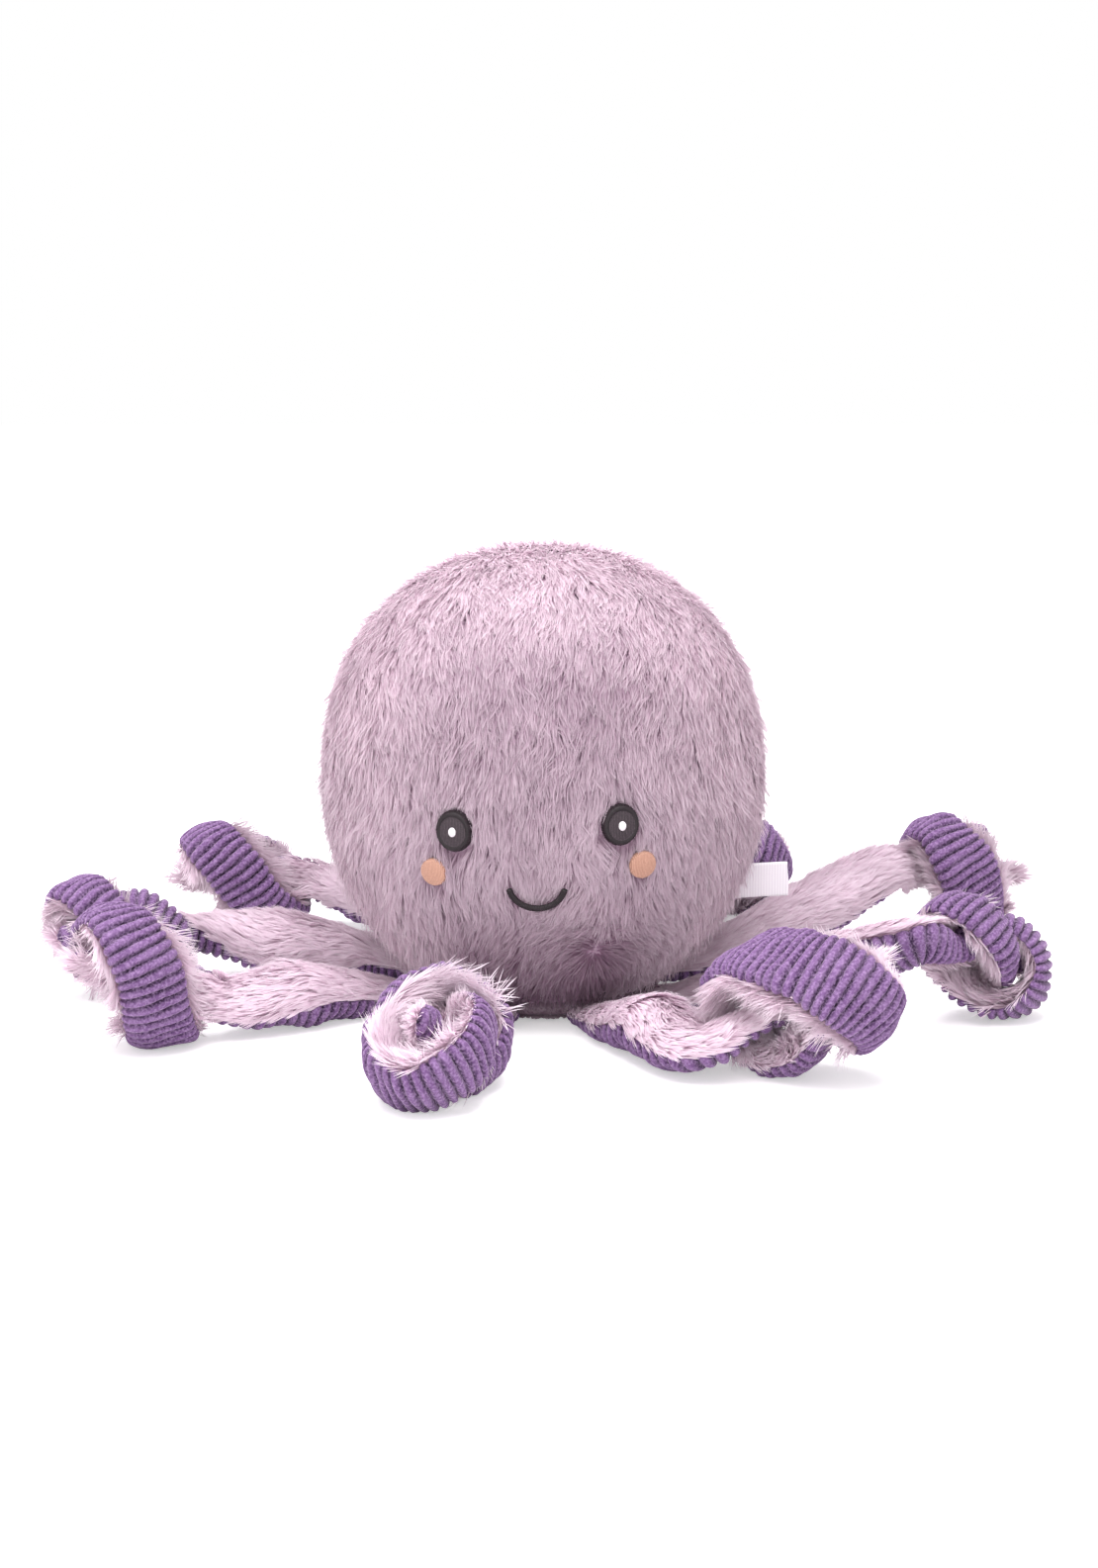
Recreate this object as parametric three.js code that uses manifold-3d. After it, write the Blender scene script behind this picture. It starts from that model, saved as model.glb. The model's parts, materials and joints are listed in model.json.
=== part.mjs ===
// Plush octopus: a stuffed round head with a stitched face, and eight floppy arms.
// Each arm is a flat stuffed tube, plush above and wide-wale corduroy below, tied in an overhand knot.
// Millimetres, +Z up. The origin is on the floor under the middle of the head, and the face looks along -Y.
import * as THREE from 'three';
import { mergeVertices } from 'three/addons/utils/BufferGeometryUtils.js';
import Module from 'manifold-3d';

const wasm = await Module();
wasm.setup();

// Fits
const seam_gap = 0.3;
const layer_gap = 0.4;
const cut_overrun = 12;

// Head, measured over the tips of its pile
const head_width = 150;
const head_centre_height = 73;
const head_crown_rise = 79;
const crown_squareness_share = 0.25;
const pile_height = 8;
const head_ring_steps = 30;
const head_profile_steps = 7;

// The four gores of the head, front, back and two sides: the angles of their seams off the way that it looks
const full_turn = 360;
const gore_cut_angle = 45;
const front_seam_angle = 57;
const back_seam_angle = 100;

// Base: the round panel that closes the head below, and that the toy sits on
const base_radius = 38;
const base_thickness = 7;
const base_edge_radius = 2;
const base_ring_steps = 24;
const base_edge_steps = 2;

// Stitched face: its place on the head is an azimuth and a height above the floor
const eye_azimuth = 20.7;
const eye_height = 71.5;
const eye_diameter = 12;
const highlight_diameter = 3;
const cheek_azimuth = 27.2;
const cheek_height = 57.2;
const cheek_diameter = 8.8;
const mouth_height = 53;
const mouth_width = 19;
const mouth_drop = 7.5;
const mouth_line_width = 1.8;
const stitching_thickness = 2.5;
const highlight_thickness = 0.8;
const stitching_depth = 1.5;
const face_turn_angle = -1.5;
const face_roll_angle = 2.5;
const round_stitching_sides = 20;
const mouth_steps = 10;

// Care label: a blank ribbon sewn into the seam between the right side and the back
const label_length = 26;
const label_height = 11.5;
const label_thickness = 0.9;
const label_bottom = 28;
const label_stand_out = 17;

// Arms: the half widths and heights of the tube, its two fabrics measured from the side seam
const root_radius = 3;
const root_half_width = 7;
const root_height = 3.6;
const root_lead = 20;
const root_round_shares = [0.05, 0.4];
const strap_half_width = 12;
const strap_pile_rise = 10;
const strap_cord_drop = 6;
const arm_floor_gap = 0.3;
const knot_half_width = 11.5;
const knot_pile_rise = 5.2;
const knot_cord_drop = 4.2;
const tip_half_width = 3.2;
const tip_pile_rise = 3;
const tip_cord_drop = 2.4;
const arm_plush_thickness = 4;
const corduroy_thickness = 2.4;
const filling_half_width_share = 0.62;
const crest_half_width_share = 0.6;
const strap_stations = 14;
const tail_stations = 2;
const unfilled_stations = { root: 5, tip: 1 };

// Knot: half sizes of its centre line along the arm, across it and upwards
const knot_half_length = 18;
const knot_half_breadth = 17.4;
const knot_half_height = 15;
const tail_length = 9;
const entry_length = 16;
const entry_widening_share = 0.35;
const entry_turn_share = 0.7;
const middle_turn_share = 0.25;
const knot_stations = 20;

const root_size = { half_width: root_half_width, pile_rise: root_radius, cord_drop: root_radius };
const strap_size = { half_width: strap_half_width, pile_rise: strap_pile_rise, cord_drop: strap_cord_drop };
const tip_size = { half_width: tip_half_width, pile_rise: tip_pile_rise, cord_drop: tip_cord_drop };

// Place of each knot: an azimuth and a reach as a share of the arm reach. Roll, tilt and turn are the angles
// that the knot is turned by about the arm, about the line across it and about the upright. Strap roll is how
// far the middle of the strap leans over, size share scales the knot, and lift share is how far the strap
// follows the knot's entry upwards. The roots are evenly spaced around the base, in this order from the left
// of the face, and back around it.
const arm_reach = 185;
const first_root_azimuth = -22.5;
const middle_lift_share = 0.3;
const arm_settings = [
  'name', 'azimuth', 'reach_share', 'roll', 'tilt', 'turn', 'strap_roll', 'size_share', 'lift_share',
];
const arms = [
  ['front_left', -15.3, 0.655, 80, 25, 0, 0, 1, 0.5],
  ['left', -61.5, 0.775, 250, 20, 0, 25, 0.9, 0.5],
  ['rear_left', -87.5, 0.765, 120, 10, 30, -30, 0.85, 1],
  ['back_left', -130, 0.757, 265, 0, 35, 0, 0.82, 0.5],
  ['back_right', 149, 0.66, 45, 0, 0, 0, 1, 0.5],
  ['rear_right', 118.7, 0.92, 130, -10, 0, 0, 0.92, 1],
  ['right', 76.8, 0.79, 225, -20, 50, -70, 0.82, 1],
  ['front_right', 38, 0.686, 15, 25, 45, -45, 1.05, 0.5],
].map((values) => Object.fromEntries(values.map((value, column) => [arm_settings[column], value])));
const mirrored_knots = ['rear_left', 'right'];

// Half of the knot's centre line, from the crossing on its top to where the tail leaves it. Places are
// shares of the half length, breadth and height, and the other half is this one turned by half a turn
// about the upright axis. Then come the way that the corduroy faces and a share of the tube's half width.
const knot_half_shares = [
  [[0, 0, 1], [0, 0, 1], 1],
  [[-0.36, 0.52, 0.93], [-0.1, 0.4, 0.9], 1],
  [[-0.8, 0.95, 0.45], [-0.2, 0.75, 0.6], 1],
  [[-1, 0.97, -0.25], [-0.35, 0.93, -0.2], 0.9],
  [[-0.95, 0.52, -0.84], [-0.5, 0.45, -0.75], 0.8],
  [[-0.64, -0.02, -1], [-0.25, -0.1, -1], 0.72],
  [[-0.2, -0.44, -0.8], [0.15, -0.5, -0.85], 0.62],
  [[0.18, -0.48, -0.36], [0.4, -0.5, -0.75], 0.58],
  [[0.55, -0.14, 0.02], [0.2, -0.2, -0.95], 0.52],
  [[1, 0.06, 0.02], [0, 0, -1], 0.46],
];

// Colours
const plush_colour = 0xd0b4c5;
const arm_plush_colour = 0xdfc4d3;
const corduroy_colour = 0x8f6f9c;
const filling_colour = 0xf2f0ee;
const dark_thread_colour = 0x453a42;
const peach_thread_colour = 0xd6ad9d;
const white_thread_colour = 0xece6ea;
const ribbon_colour = 0xf1ebf1;

const octopus = new THREE.Group();

function cloth(colour, roughness) {
  return new THREE.MeshStandardMaterial({ color: colour, roughness, metalness: 0 });
}

function addPiece(name, geometry, material) {
  const mesh = new THREE.Mesh(geometry, material);
  mesh.name = name;
  octopus.add(mesh);
}

// Direction on the floor at an azimuth: 0 is the way that the face looks, 90 the viewer's right
function floorDirection(azimuth) {
  const angle = THREE.MathUtils.degToRad(azimuth);
  return new THREE.Vector3(Math.sin(angle), -Math.cos(angle), 0);
}

// The tube's size part of the way from one place on the arm to the next
function mixedSize(from, to, share = 0.5) {
  const size = {};
  for (const key of Object.keys(from)) size[key] = THREE.MathUtils.lerp(from[key], to[key], share);
  return size;
}

function weld(geometry) {
  geometry.deleteAttribute('normal');
  geometry.deleteAttribute('uv');
  return mergeVertices(geometry);
}

function solidOf(geometry) {
  const welded = weld(geometry.clone());
  const vertProperties = new Float32Array(welded.attributes.position.array);
  const triVerts = new Uint32Array(welded.index.array);
  return new wasm.Manifold(new wasm.Mesh({ numProp: 3, vertProperties, triVerts }));
}

function geometryOf(solid) {
  const mesh = solid.getMesh();
  const geometry = new THREE.BufferGeometry();
  geometry.setAttribute('position', new THREE.BufferAttribute(mesh.vertProperties, 3));
  geometry.setIndex(new THREE.BufferAttribute(mesh.triVerts, 1));
  geometry.computeVertexNormals();
  return geometry;
}

const shell_floor = base_thickness + seam_gap;
const filling_inset = pile_height + seam_gap;

// The lower half of the head's outline is part of an ellipse that meets the shell's floor over the rim of
// the base, and this is how far below the head's centre it would close.
function lowerDrop(inset) {
  const rim_share = (base_radius - inset) / (head_width / 2 - inset);
  return (head_centre_height - shell_floor) / Math.sqrt(1 - rim_share ** 2);
}

// Head: an upright outline turned about the Z axis. Above its centre it is a little square, below it round.
function headRadiusAt(height, inset) {
  const rise = height - head_centre_height;
  const half = rise > 0 ? head_crown_rise - inset : lowerDrop(inset);
  const power = rise > 0 ? 2 + crown_squareness_share : 2;
  const share = Math.min(Math.abs(rise) / half, 1);
  return (head_width / 2 - inset) * (1 - share ** power) ** (1 / power);
}

// Points of the outline from the crown down to a floor height, evenly spaced in angle
function headOutline(inset, floor) {
  const points = [];
  const crown = head_centre_height + head_crown_rise - inset;
  const drop = lowerDrop(inset);
  const low = Math.acos((head_centre_height - floor) / drop);
  for (let step = 0; step < 2 * head_profile_steps; step += 1) {
    const angle = (Math.PI - low) * (step / (2 * head_profile_steps));
    const height = angle < Math.PI / 2
      ? head_centre_height + (crown - head_centre_height) * Math.cos(angle)
      : head_centre_height + drop * Math.cos(angle);
    points.push(new THREE.Vector2(step === 0 ? 0 : headRadiusAt(height, inset), height));
  }
  points.push(new THREE.Vector2(headRadiusAt(floor, inset), floor));
  return points;
}

// LatheGeometry turns about Y, so the turned body is stood up and its face brought to -Y
function turned(points, steps) {
  const geometry = new THREE.LatheGeometry(points, steps);
  geometry.rotateX(Math.PI / 2);
  return geometry;
}

function headShell() {
  const outer = headOutline(0, shell_floor);
  const inner = headOutline(pile_height, shell_floor).reverse();
  return solidOf(turned(outer.concat(inner).reverse(), head_ring_steps));
}

// An upright wedge between two azimuths, drawn in by half the seam gap on each side
function gore(from, to) {
  const far = head_width + cut_overrun;
  const inward = floorDirection((from + to) / 2).multiplyScalar(seam_gap);
  const outline = new THREE.Shape();
  outline.moveTo(inward.x, inward.y);
  const turns = Math.ceil((to - from) / gore_cut_angle);
  for (let turn = 0; turn <= turns; turn += 1) {
    const direction = floorDirection(from + (to - from) * (turn / turns)).multiplyScalar(far);
    outline.lineTo(inward.x + direction.x, inward.y + direction.y);
  }
  const depth = head_centre_height + head_crown_rise + cut_overrun;
  return solidOf(new THREE.ExtrudeGeometry(outline, { depth, bevelEnabled: false }));
}

// A frame on the head's surface: outward, sideways to the viewer's right, and up along the surface
function faceFrame(azimuth, height) {
  const roll = THREE.MathUtils.degToRad(face_roll_angle);
  const side = Math.tan(roll) * (head_width / 2) * Math.sin(THREE.MathUtils.degToRad(azimuth));
  const level = height + side;
  const out = floorDirection(azimuth + face_turn_angle);
  const radius = headRadiusAt(level, 0);
  const rise = headRadiusAt(level + pile_height, 0) - headRadiusAt(level - pile_height, 0);
  const slope = rise / (2 * pile_height);
  const up = new THREE.Vector3(out.x * slope, out.y * slope, 1).normalize();
  const right = new THREE.Vector3(-out.y, out.x, 0);
  const normal = new THREE.Vector3().crossVectors(right, up).normalize();
  const matrix = new THREE.Matrix4().makeBasis(right, up, normal);
  matrix.setPosition(out.x * radius, out.y * radius, level);
  return matrix;
}

// A round patch of satin stitch, sunk in the pile. Its local Z points out of the head.
function roundStitching(diameter, thickness, top) {
  const radius = diameter / 2;
  const geometry = new THREE.CylinderGeometry(radius, radius, thickness, round_stitching_sides);
  geometry.rotateX(Math.PI / 2);
  geometry.translate(0, 0, top - thickness / 2);
  return geometry;
}

// A pocket for a piece of stitching: the same outline, one seam gap larger, and open towards the pile's tips
function roundPocket(diameter) {
  const radius = diameter / 2 + seam_gap;
  const depth = stitching_depth + stitching_thickness + seam_gap + cut_overrun;
  const geometry = new THREE.CylinderGeometry(radius, radius, depth, round_stitching_sides);
  geometry.rotateX(Math.PI / 2);
  geometry.translate(0, 0, cut_overrun - depth / 2);
  return geometry;
}

// The smile: a band between two arcs through the corners and the lowest point of the mouth
function mouthBand(spread, near, far) {
  const radius = (mouth_width ** 2 / 4 + mouth_drop ** 2) / (2 * mouth_drop);
  const half_angle = Math.asin(mouth_width / 2 / radius);
  const half_line = mouth_line_width / 2 + spread;
  const reach = half_angle + (mouth_line_width / 2 + spread) / radius;
  const outline = new THREE.Shape();
  for (const [side, sign] of [[half_line, 1], [-half_line, -1]]) {
    for (let step = 0; step <= mouth_steps; step += 1) {
      const angle = sign * reach * ((2 * step) / mouth_steps - 1);
      const x = (radius + side) * Math.sin(angle);
      const y = radius - mouth_drop - (radius + side) * Math.cos(angle);
      if (step === 0 && sign > 0) outline.moveTo(x, y);
      else outline.lineTo(x, y);
    }
  }
  const geometry = new THREE.ExtrudeGeometry(outline, { depth: far - near, bevelEnabled: false });
  geometry.translate(0, 0, near);
  return geometry;
}

// Care label: a flat box that stands out of the seam, with a slot in the pile around it
function labelBox(spread) {
  const length = label_length + 2 * spread;
  const height = label_height + 2 * spread;
  const geometry = new THREE.BoxGeometry(length, label_thickness + 2 * spread, height);
  const middle_height = label_bottom + label_height / 2;
  const middle_radius = headRadiusAt(middle_height, 0) + label_stand_out - label_length / 2;
  const middle = floorDirection(back_seam_angle).multiplyScalar(middle_radius);
  geometry.rotateZ(THREE.MathUtils.degToRad(back_seam_angle) - Math.PI / 2);
  geometry.translate(middle.x, middle.y, middle_height);
  return geometry;
}

function makeHead() {
  const stitching_top = -stitching_depth;
  const pockets = [];
  const face = [];
  for (const [side, sign] of [['left', -1], ['right', 1]]) {
    const eye = faceFrame(sign * eye_azimuth, eye_height);
    const cheek = faceFrame(sign * cheek_azimuth, cheek_height);
    const highlight_top = stitching_top + seam_gap + highlight_thickness;
    pockets.push(roundPocket(eye_diameter).applyMatrix4(eye));
    pockets.push(roundPocket(cheek_diameter).applyMatrix4(cheek));
    const eye_disc = roundStitching(eye_diameter, stitching_thickness, stitching_top);
    const highlight = roundStitching(highlight_diameter, highlight_thickness, highlight_top);
    const cheek_disc = roundStitching(cheek_diameter, stitching_thickness, stitching_top);
    face.push([`${side}_eye`, eye_disc.applyMatrix4(eye), dark_thread_colour]);
    face.push([`${side}_eye_highlight`, highlight.applyMatrix4(eye), white_thread_colour]);
    face.push([`${side}_cheek`, cheek_disc.applyMatrix4(cheek), peach_thread_colour]);
  }
  const mouth = faceFrame(0, mouth_height);
  const mouth_floor = stitching_top - stitching_thickness;
  pockets.push(mouthBand(seam_gap, mouth_floor - seam_gap, cut_overrun).applyMatrix4(mouth));
  face.push(['mouth', mouthBand(0, mouth_floor, stitching_top).applyMatrix4(mouth), dark_thread_colour]);

  const gores = {
    front_panel: [-front_seam_angle, front_seam_angle],
    right_side_panel: [front_seam_angle, back_seam_angle],
    back_panel: [back_seam_angle, full_turn - back_seam_angle],
    left_side_panel: [-back_seam_angle, -front_seam_angle],
  };
  const shell = headShell();
  const label_slot = solidOf(labelBox(seam_gap));
  for (const [name, [from, to]] of Object.entries(gores)) {
    let panel = shell.intersect(gore(from, to)).subtract(label_slot);
    if (name === 'front_panel') {
      for (const pocket of pockets) panel = panel.subtract(solidOf(pocket));
    }
    addPiece(name, geometryOf(panel), cloth(plush_colour, 1));
  }
  for (const [name, geometry, colour] of face) addPiece(name, geometry, cloth(colour, 0.6));

  const stuffing = headOutline(filling_inset, shell_floor);
  stuffing.push(new THREE.Vector2(0, shell_floor));
  const filling = solidOf(turned(stuffing.reverse(), head_ring_steps)).subtract(label_slot);
  addPiece('head_filling', geometryOf(filling), cloth(filling_colour, 1));
  addPiece('care_label', labelBox(0), cloth(ribbon_colour, 0.45));

  const rim = [new THREE.Vector2(0, 0)];
  for (let step = 0; step <= base_edge_steps; step += 1) {
    const angle = (Math.PI / 2) * (step / base_edge_steps);
    const x = base_radius - base_edge_radius * (1 - Math.sin(angle));
    rim.push(new THREE.Vector2(x, base_edge_radius * (1 - Math.cos(angle))));
  }
  rim.push(new THREE.Vector2(base_radius, base_thickness));
  rim.push(new THREE.Vector2(0, base_thickness));
  addPiece('base_panel', turned(rim, base_ring_steps), cloth(plush_colour, 1));
}

function tilted(vector, arm) {
  return vector.applyAxisAngle(new THREE.Vector3(0, 1, 0), -THREE.MathUtils.degToRad(arm.tilt));
}

// The knot's whole centre line in its own frame: the arm comes in along +X, with the corduroy below
function knotLine(arm) {
  const half = new THREE.Vector3(knot_half_length, knot_half_breadth, knot_half_height);
  half.multiplyScalar(arm.size_share);
  const forward = knot_half_shares.map(([place, facing, width_share]) => ({
    place: new THREE.Vector3(...place).multiply(half),
    facing: new THREE.Vector3(...facing).normalize(),
    size: {
      half_width: knot_half_width * width_share * arm.size_share,
      pile_rise: knot_pile_rise * arm.size_share,
      cord_drop: knot_cord_drop * arm.size_share,
    },
  }));
  const turn = ({ place, facing, size }) => ({
    place: new THREE.Vector3(-place.x, -place.y, place.z),
    facing: new THREE.Vector3(-facing.x, -facing.y, facing.z),
    size,
  });
  const line = forward.slice(1).reverse().map(turn).concat(forward);
  const roll = THREE.MathUtils.degToRad(arm.roll);
  for (const point of line) {
    for (const vector of [point.place, point.facing]) {
      if (mirrored_knots.includes(arm.name)) vector.y *= -1;
      tilted(vector.applyAxisAngle(new THREE.Vector3(1, 0, 0), roll), arm);
    }
  }
  return line;
}

// The arm's route on the floor, from its root seam through the strap and the knot to the tip.
// knot_middle is the height of the knot's middle.
function armRoute(arm, knot_middle) {
  const root_turn = (full_turn * arms.indexOf(arm)) / arms.length;
  const radial = floorDirection(first_root_azimuth - root_turn);
  const root_distance = base_radius + seam_gap + root_radius;
  const root = radial.clone().multiplyScalar(root_distance).setZ(root_height);
  const knot = floorDirection(arm.azimuth).multiplyScalar(arm_reach * arm.reach_share).setZ(knot_middle);
  const heading = knot.clone().sub(root).setZ(0).normalize();
  const upright = new THREE.Vector3(0, 0, 1);
  const knot_heading = heading.clone().applyAxisAngle(upright, THREE.MathUtils.degToRad(arm.turn));
  const across = new THREE.Vector3(-knot_heading.y, knot_heading.x, 0);
  const basis = new THREE.Matrix4().makeBasis(knot_heading, across, upright);
  const way_in = tilted(new THREE.Vector3(1, 0, 0), arm).transformDirection(basis);
  const line = knotLine(arm).map(({ place, facing, size }) => ({
    place: place.applyMatrix4(basis).add(knot),
    facing: facing.transformDirection(basis),
    size,
  }));
  const down = new THREE.Vector3(0, 0, -1);
  const strap_height = arm_floor_gap + strap_cord_drop;
  const entry = line[0];
  const exit = line[line.length - 1];
  const lead = root.clone().addScaledVector(radial, root_lead).setZ((root_height + strap_height) / 2);
  const strap_end = entry.place.clone().addScaledVector(way_in, -entry_length);
  const climb = Math.max(strap_end.z - strap_height, 0) * arm.lift_share;
  strap_end.setZ(strap_height + climb);
  const strap_middle = lead.clone().lerp(strap_end, 0.5).setZ(strap_height + climb * middle_lift_share);
  const strap_turn = THREE.MathUtils.degToRad(arm.strap_roll);
  const turnedFacing = (share, turn) => (
    down.clone().lerp(entry.facing, share).normalize().applyAxisAngle(heading, turn)
  );
  const tip = exit.place.clone().addScaledVector(way_in, tail_length);
  const strap_points = [
    { place: root.clone().addScaledVector(radial, -root_radius), facing: down, size: root_size },
    { place: root, facing: down, size: root_size },
    { place: lead, facing: down, size: mixedSize(root_size, strap_size) },
    { place: strap_middle, facing: turnedFacing(middle_turn_share, strap_turn), size: strap_size },
    {
      place: strap_end,
      facing: turnedFacing(entry_turn_share, strap_turn / 2),
      size: mixedSize(entry.size, strap_size, entry_widening_share),
    },
  ];
  const points = strap_points.concat(line, { place: tip, facing: exit.facing, size: tip_size });
  return { radial, points, knot_start: strap_points.length };
}

// Stations along the arm: where each lies, its directions and the size of the tube there
function armStations(arm, knot_middle) {
  const { radial, points, knot_start } = armRoute(arm, knot_middle);
  const places = new THREE.CatmullRomCurve3(points.map((point) => point.place), false, 'centripetal');
  const facings = new THREE.CatmullRomCurve3(points.map((point) => point.facing), false, 'catmullrom');
  const last = points.length - 1;
  const knot_end = last - 1;
  const stops = [...root_round_shares];
  for (let step = 0; step < strap_stations; step += 1) {
    stops.push(1 + (knot_start - 1) * (step / strap_stations));
  }
  for (let step = 0; step <= knot_stations; step += 1) {
    stops.push(knot_start + (knot_end - knot_start) * (step / knot_stations));
  }
  for (let step = 1; step <= tail_stations; step += 1) stops.push(knot_end + step / tail_stations);
  return stops.map((stop) => {
    const before = Math.min(Math.floor(stop), last - 1);
    const round = stop < 1 ? Math.sqrt(1 - (1 - stop) ** 2) : 1;
    const size = mixedSize(points[before].size, points[before + 1].size, stop - before);
    size.pile_rise *= round;
    size.cord_drop *= round;
    const along = stop <= 1 ? radial.clone() : places.getTangent(stop / last);
    const cord = facings.getPoint(stop / last);
    cord.addScaledVector(along, -cord.dot(along)).normalize();
    const across = new THREE.Vector3().crossVectors(along, cord);
    return { place: places.getPoint(stop / last), across, pile: cord.negate(), size, stop };
  });
}

// Outlines of the three layers at one station, in pairs of sideways and pile-ward distances
function plushOutline({ half_width, pile_rise }) {
  const crest = crest_half_width_share * half_width;
  const inner = filling_half_width_share * half_width + layer_gap;
  const hollow = Math.max(pile_rise - arm_plush_thickness, 0) + layer_gap;
  const edge = layer_gap / 2;
  return [
    [half_width, edge], [crest, pile_rise], [-crest, pile_rise], [-half_width, edge],
    [-inner, edge], [0, hollow], [inner, edge],
  ];
}

function corduroyOutline({ half_width, cord_drop }) {
  const crest = crest_half_width_share * half_width;
  const inner = filling_half_width_share * half_width + layer_gap;
  const hollow = Math.max(cord_drop - corduroy_thickness, 0) + layer_gap;
  const edge = layer_gap / 2;
  return [
    [-half_width, -edge], [-crest, -cord_drop], [crest, -cord_drop], [half_width, -edge],
    [inner, -edge], [0, -hollow], [-inner, -edge],
  ];
}

function fillingOutline({ half_width, pile_rise, cord_drop }) {
  const side = filling_half_width_share * half_width;
  return [
    [side, 0], [0, Math.max(pile_rise - arm_plush_thickness, 0) + layer_gap / 2],
    [-side, 0], [0, -Math.max(cord_drop - corduroy_thickness, 0) - layer_gap / 2],
  ];
}

// A closed body through the outlines of one layer at every station. Faces are split so that the
// splits of two layers that lie on each other run the same way.
function layer(stations, outlineOf) {
  const outlines = stations.map((station) => outlineOf(station.size));
  const count = outlines[0].length;
  const positions = [];
  stations.forEach(({ place, across, pile }, index) => {
    for (const [side, rise] of outlines[index]) {
      const point = place.clone().addScaledVector(across, side).addScaledVector(pile, rise);
      positions.push(point.x, point.y, point.z);
    }
  });
  const faces = [];
  for (let ring = 0; ring < stations.length - 1; ring += 1) {
    for (let edge = 0; edge < count; edge += 1) {
      const next = (edge + 1) % count;
      const near = [ring * count + edge, ring * count + next];
      const far = [near[0] + count, near[1] + count];
      if (outlines[ring][next][0] > outlines[ring][edge][0]) {
        faces.push(near[0], near[1], far[1], near[0], far[1], far[0]);
      } else {
        faces.push(near[0], near[1], far[0], near[1], far[1], far[0]);
      }
    }
  }
  const ends = [[0, false], [stations.length - 1, true]];
  for (const [ring, flipped] of ends) {
    const outline = outlines[ring].map(([x, y]) => new THREE.Vector2(x, y));
    for (const face of THREE.ShapeUtils.triangulateShape(outline, [])) {
      const corners = face.map((corner) => ring * count + corner);
      faces.push(...(flipped ? corners : corners.reverse()));
    }
  }
  const geometry = new THREE.BufferGeometry();
  geometry.setAttribute('position', new THREE.Float32BufferAttribute(positions, 3));
  geometry.setIndex(faces);
  geometry.computeVertexNormals();
  return geometry;
}

function lowestPoint({ place, across, pile, size }) {
  const corners = plushOutline(size).concat(corduroyOutline(size));
  return Math.min(...corners.map(([side, rise]) => place.z + across.z * side + pile.z * rise));
}

// Height at which the knot's middle rests so that its lowest point is just off the floor
function knotMiddle(arm) {
  const start = knot_half_height + knot_cord_drop;
  const { knot_start } = armRoute(arm, start);
  const knot = armStations(arm, start).filter(({ stop }) => stop >= knot_start);
  return start + arm_floor_gap - Math.min(...knot.map(lowestPoint));
}

function makeArm(arm) {
  const stations = armStations(arm, knotMiddle(arm));
  for (const station of stations) {
    station.place.z += Math.max(arm_floor_gap - lowestPoint(station), 0);
  }
  const stuffed = stations.slice(unfilled_stations.root, -unfilled_stations.tip);
  addPiece(`${arm.name}_arm_plush`, layer(stations, plushOutline), cloth(arm_plush_colour, 1));
  addPiece(`${arm.name}_arm_corduroy`, layer(stations, corduroyOutline), cloth(corduroy_colour, 0.9));
  addPiece(`${arm.name}_arm_filling`, layer(stuffed, fillingOutline), cloth(filling_colour, 1));
}

makeHead();
for (const arm of arms) makeArm(arm);

export default octopus;
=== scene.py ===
# %% [markdown]
# # A plush octopus with knotted arms
# The toy is a round head of long-pile plush and eight floppy arms. Each arm is a flat tube of plush above and
# wide-wale corduroy below, tied in an overhand knot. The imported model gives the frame: the bodies, the joints
# and a plain solid for every piece. This script gives each of those pieces its cloth, its fur and its thread.

# %% The frame
import json
import math

import bpy
import numpy as np
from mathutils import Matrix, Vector
from mathutils.kdtree import KDTree


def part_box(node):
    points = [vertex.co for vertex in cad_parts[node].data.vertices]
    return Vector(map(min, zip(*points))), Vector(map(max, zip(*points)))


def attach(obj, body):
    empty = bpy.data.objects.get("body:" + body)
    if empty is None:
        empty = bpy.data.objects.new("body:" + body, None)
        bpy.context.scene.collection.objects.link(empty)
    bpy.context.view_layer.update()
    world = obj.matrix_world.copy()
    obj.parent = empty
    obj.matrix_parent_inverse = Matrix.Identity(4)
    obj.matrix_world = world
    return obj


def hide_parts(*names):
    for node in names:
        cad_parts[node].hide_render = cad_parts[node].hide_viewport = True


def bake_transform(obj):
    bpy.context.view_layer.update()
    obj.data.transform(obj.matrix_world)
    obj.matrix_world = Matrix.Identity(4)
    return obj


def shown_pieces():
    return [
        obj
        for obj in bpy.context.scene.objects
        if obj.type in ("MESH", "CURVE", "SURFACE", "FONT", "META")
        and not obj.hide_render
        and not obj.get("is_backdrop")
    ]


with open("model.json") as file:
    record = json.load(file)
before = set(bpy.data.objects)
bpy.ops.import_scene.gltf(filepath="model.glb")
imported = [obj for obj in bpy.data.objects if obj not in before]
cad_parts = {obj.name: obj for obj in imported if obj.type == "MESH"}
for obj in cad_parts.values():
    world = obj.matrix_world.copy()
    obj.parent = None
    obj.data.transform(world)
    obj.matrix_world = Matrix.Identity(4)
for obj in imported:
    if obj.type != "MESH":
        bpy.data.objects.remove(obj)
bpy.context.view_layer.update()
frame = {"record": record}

# %% [markdown]
# ## Working in millimetres
# A toy maker thinks in millimetres, so every size below is in millimetres and becomes metres in one place,
# when a mesh is made. Every random draw comes from one seeded generator, so each run gives the same toy.

# %% Units, directions and random draws
MM = 0.001
TINY = 1e-9
RIPPLE_WAVES = 6
draws = np.random.default_rng(8)


def unit(vectors):
    return vectors / np.maximum(np.linalg.norm(vectors, axis=-1, keepdims=True), TINY)


def across_the(normal, vectors):
    """What is left of the vectors without their share along the normal."""
    return vectors - normal * (vectors * normal).sum(-1, keepdims=True)


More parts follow.
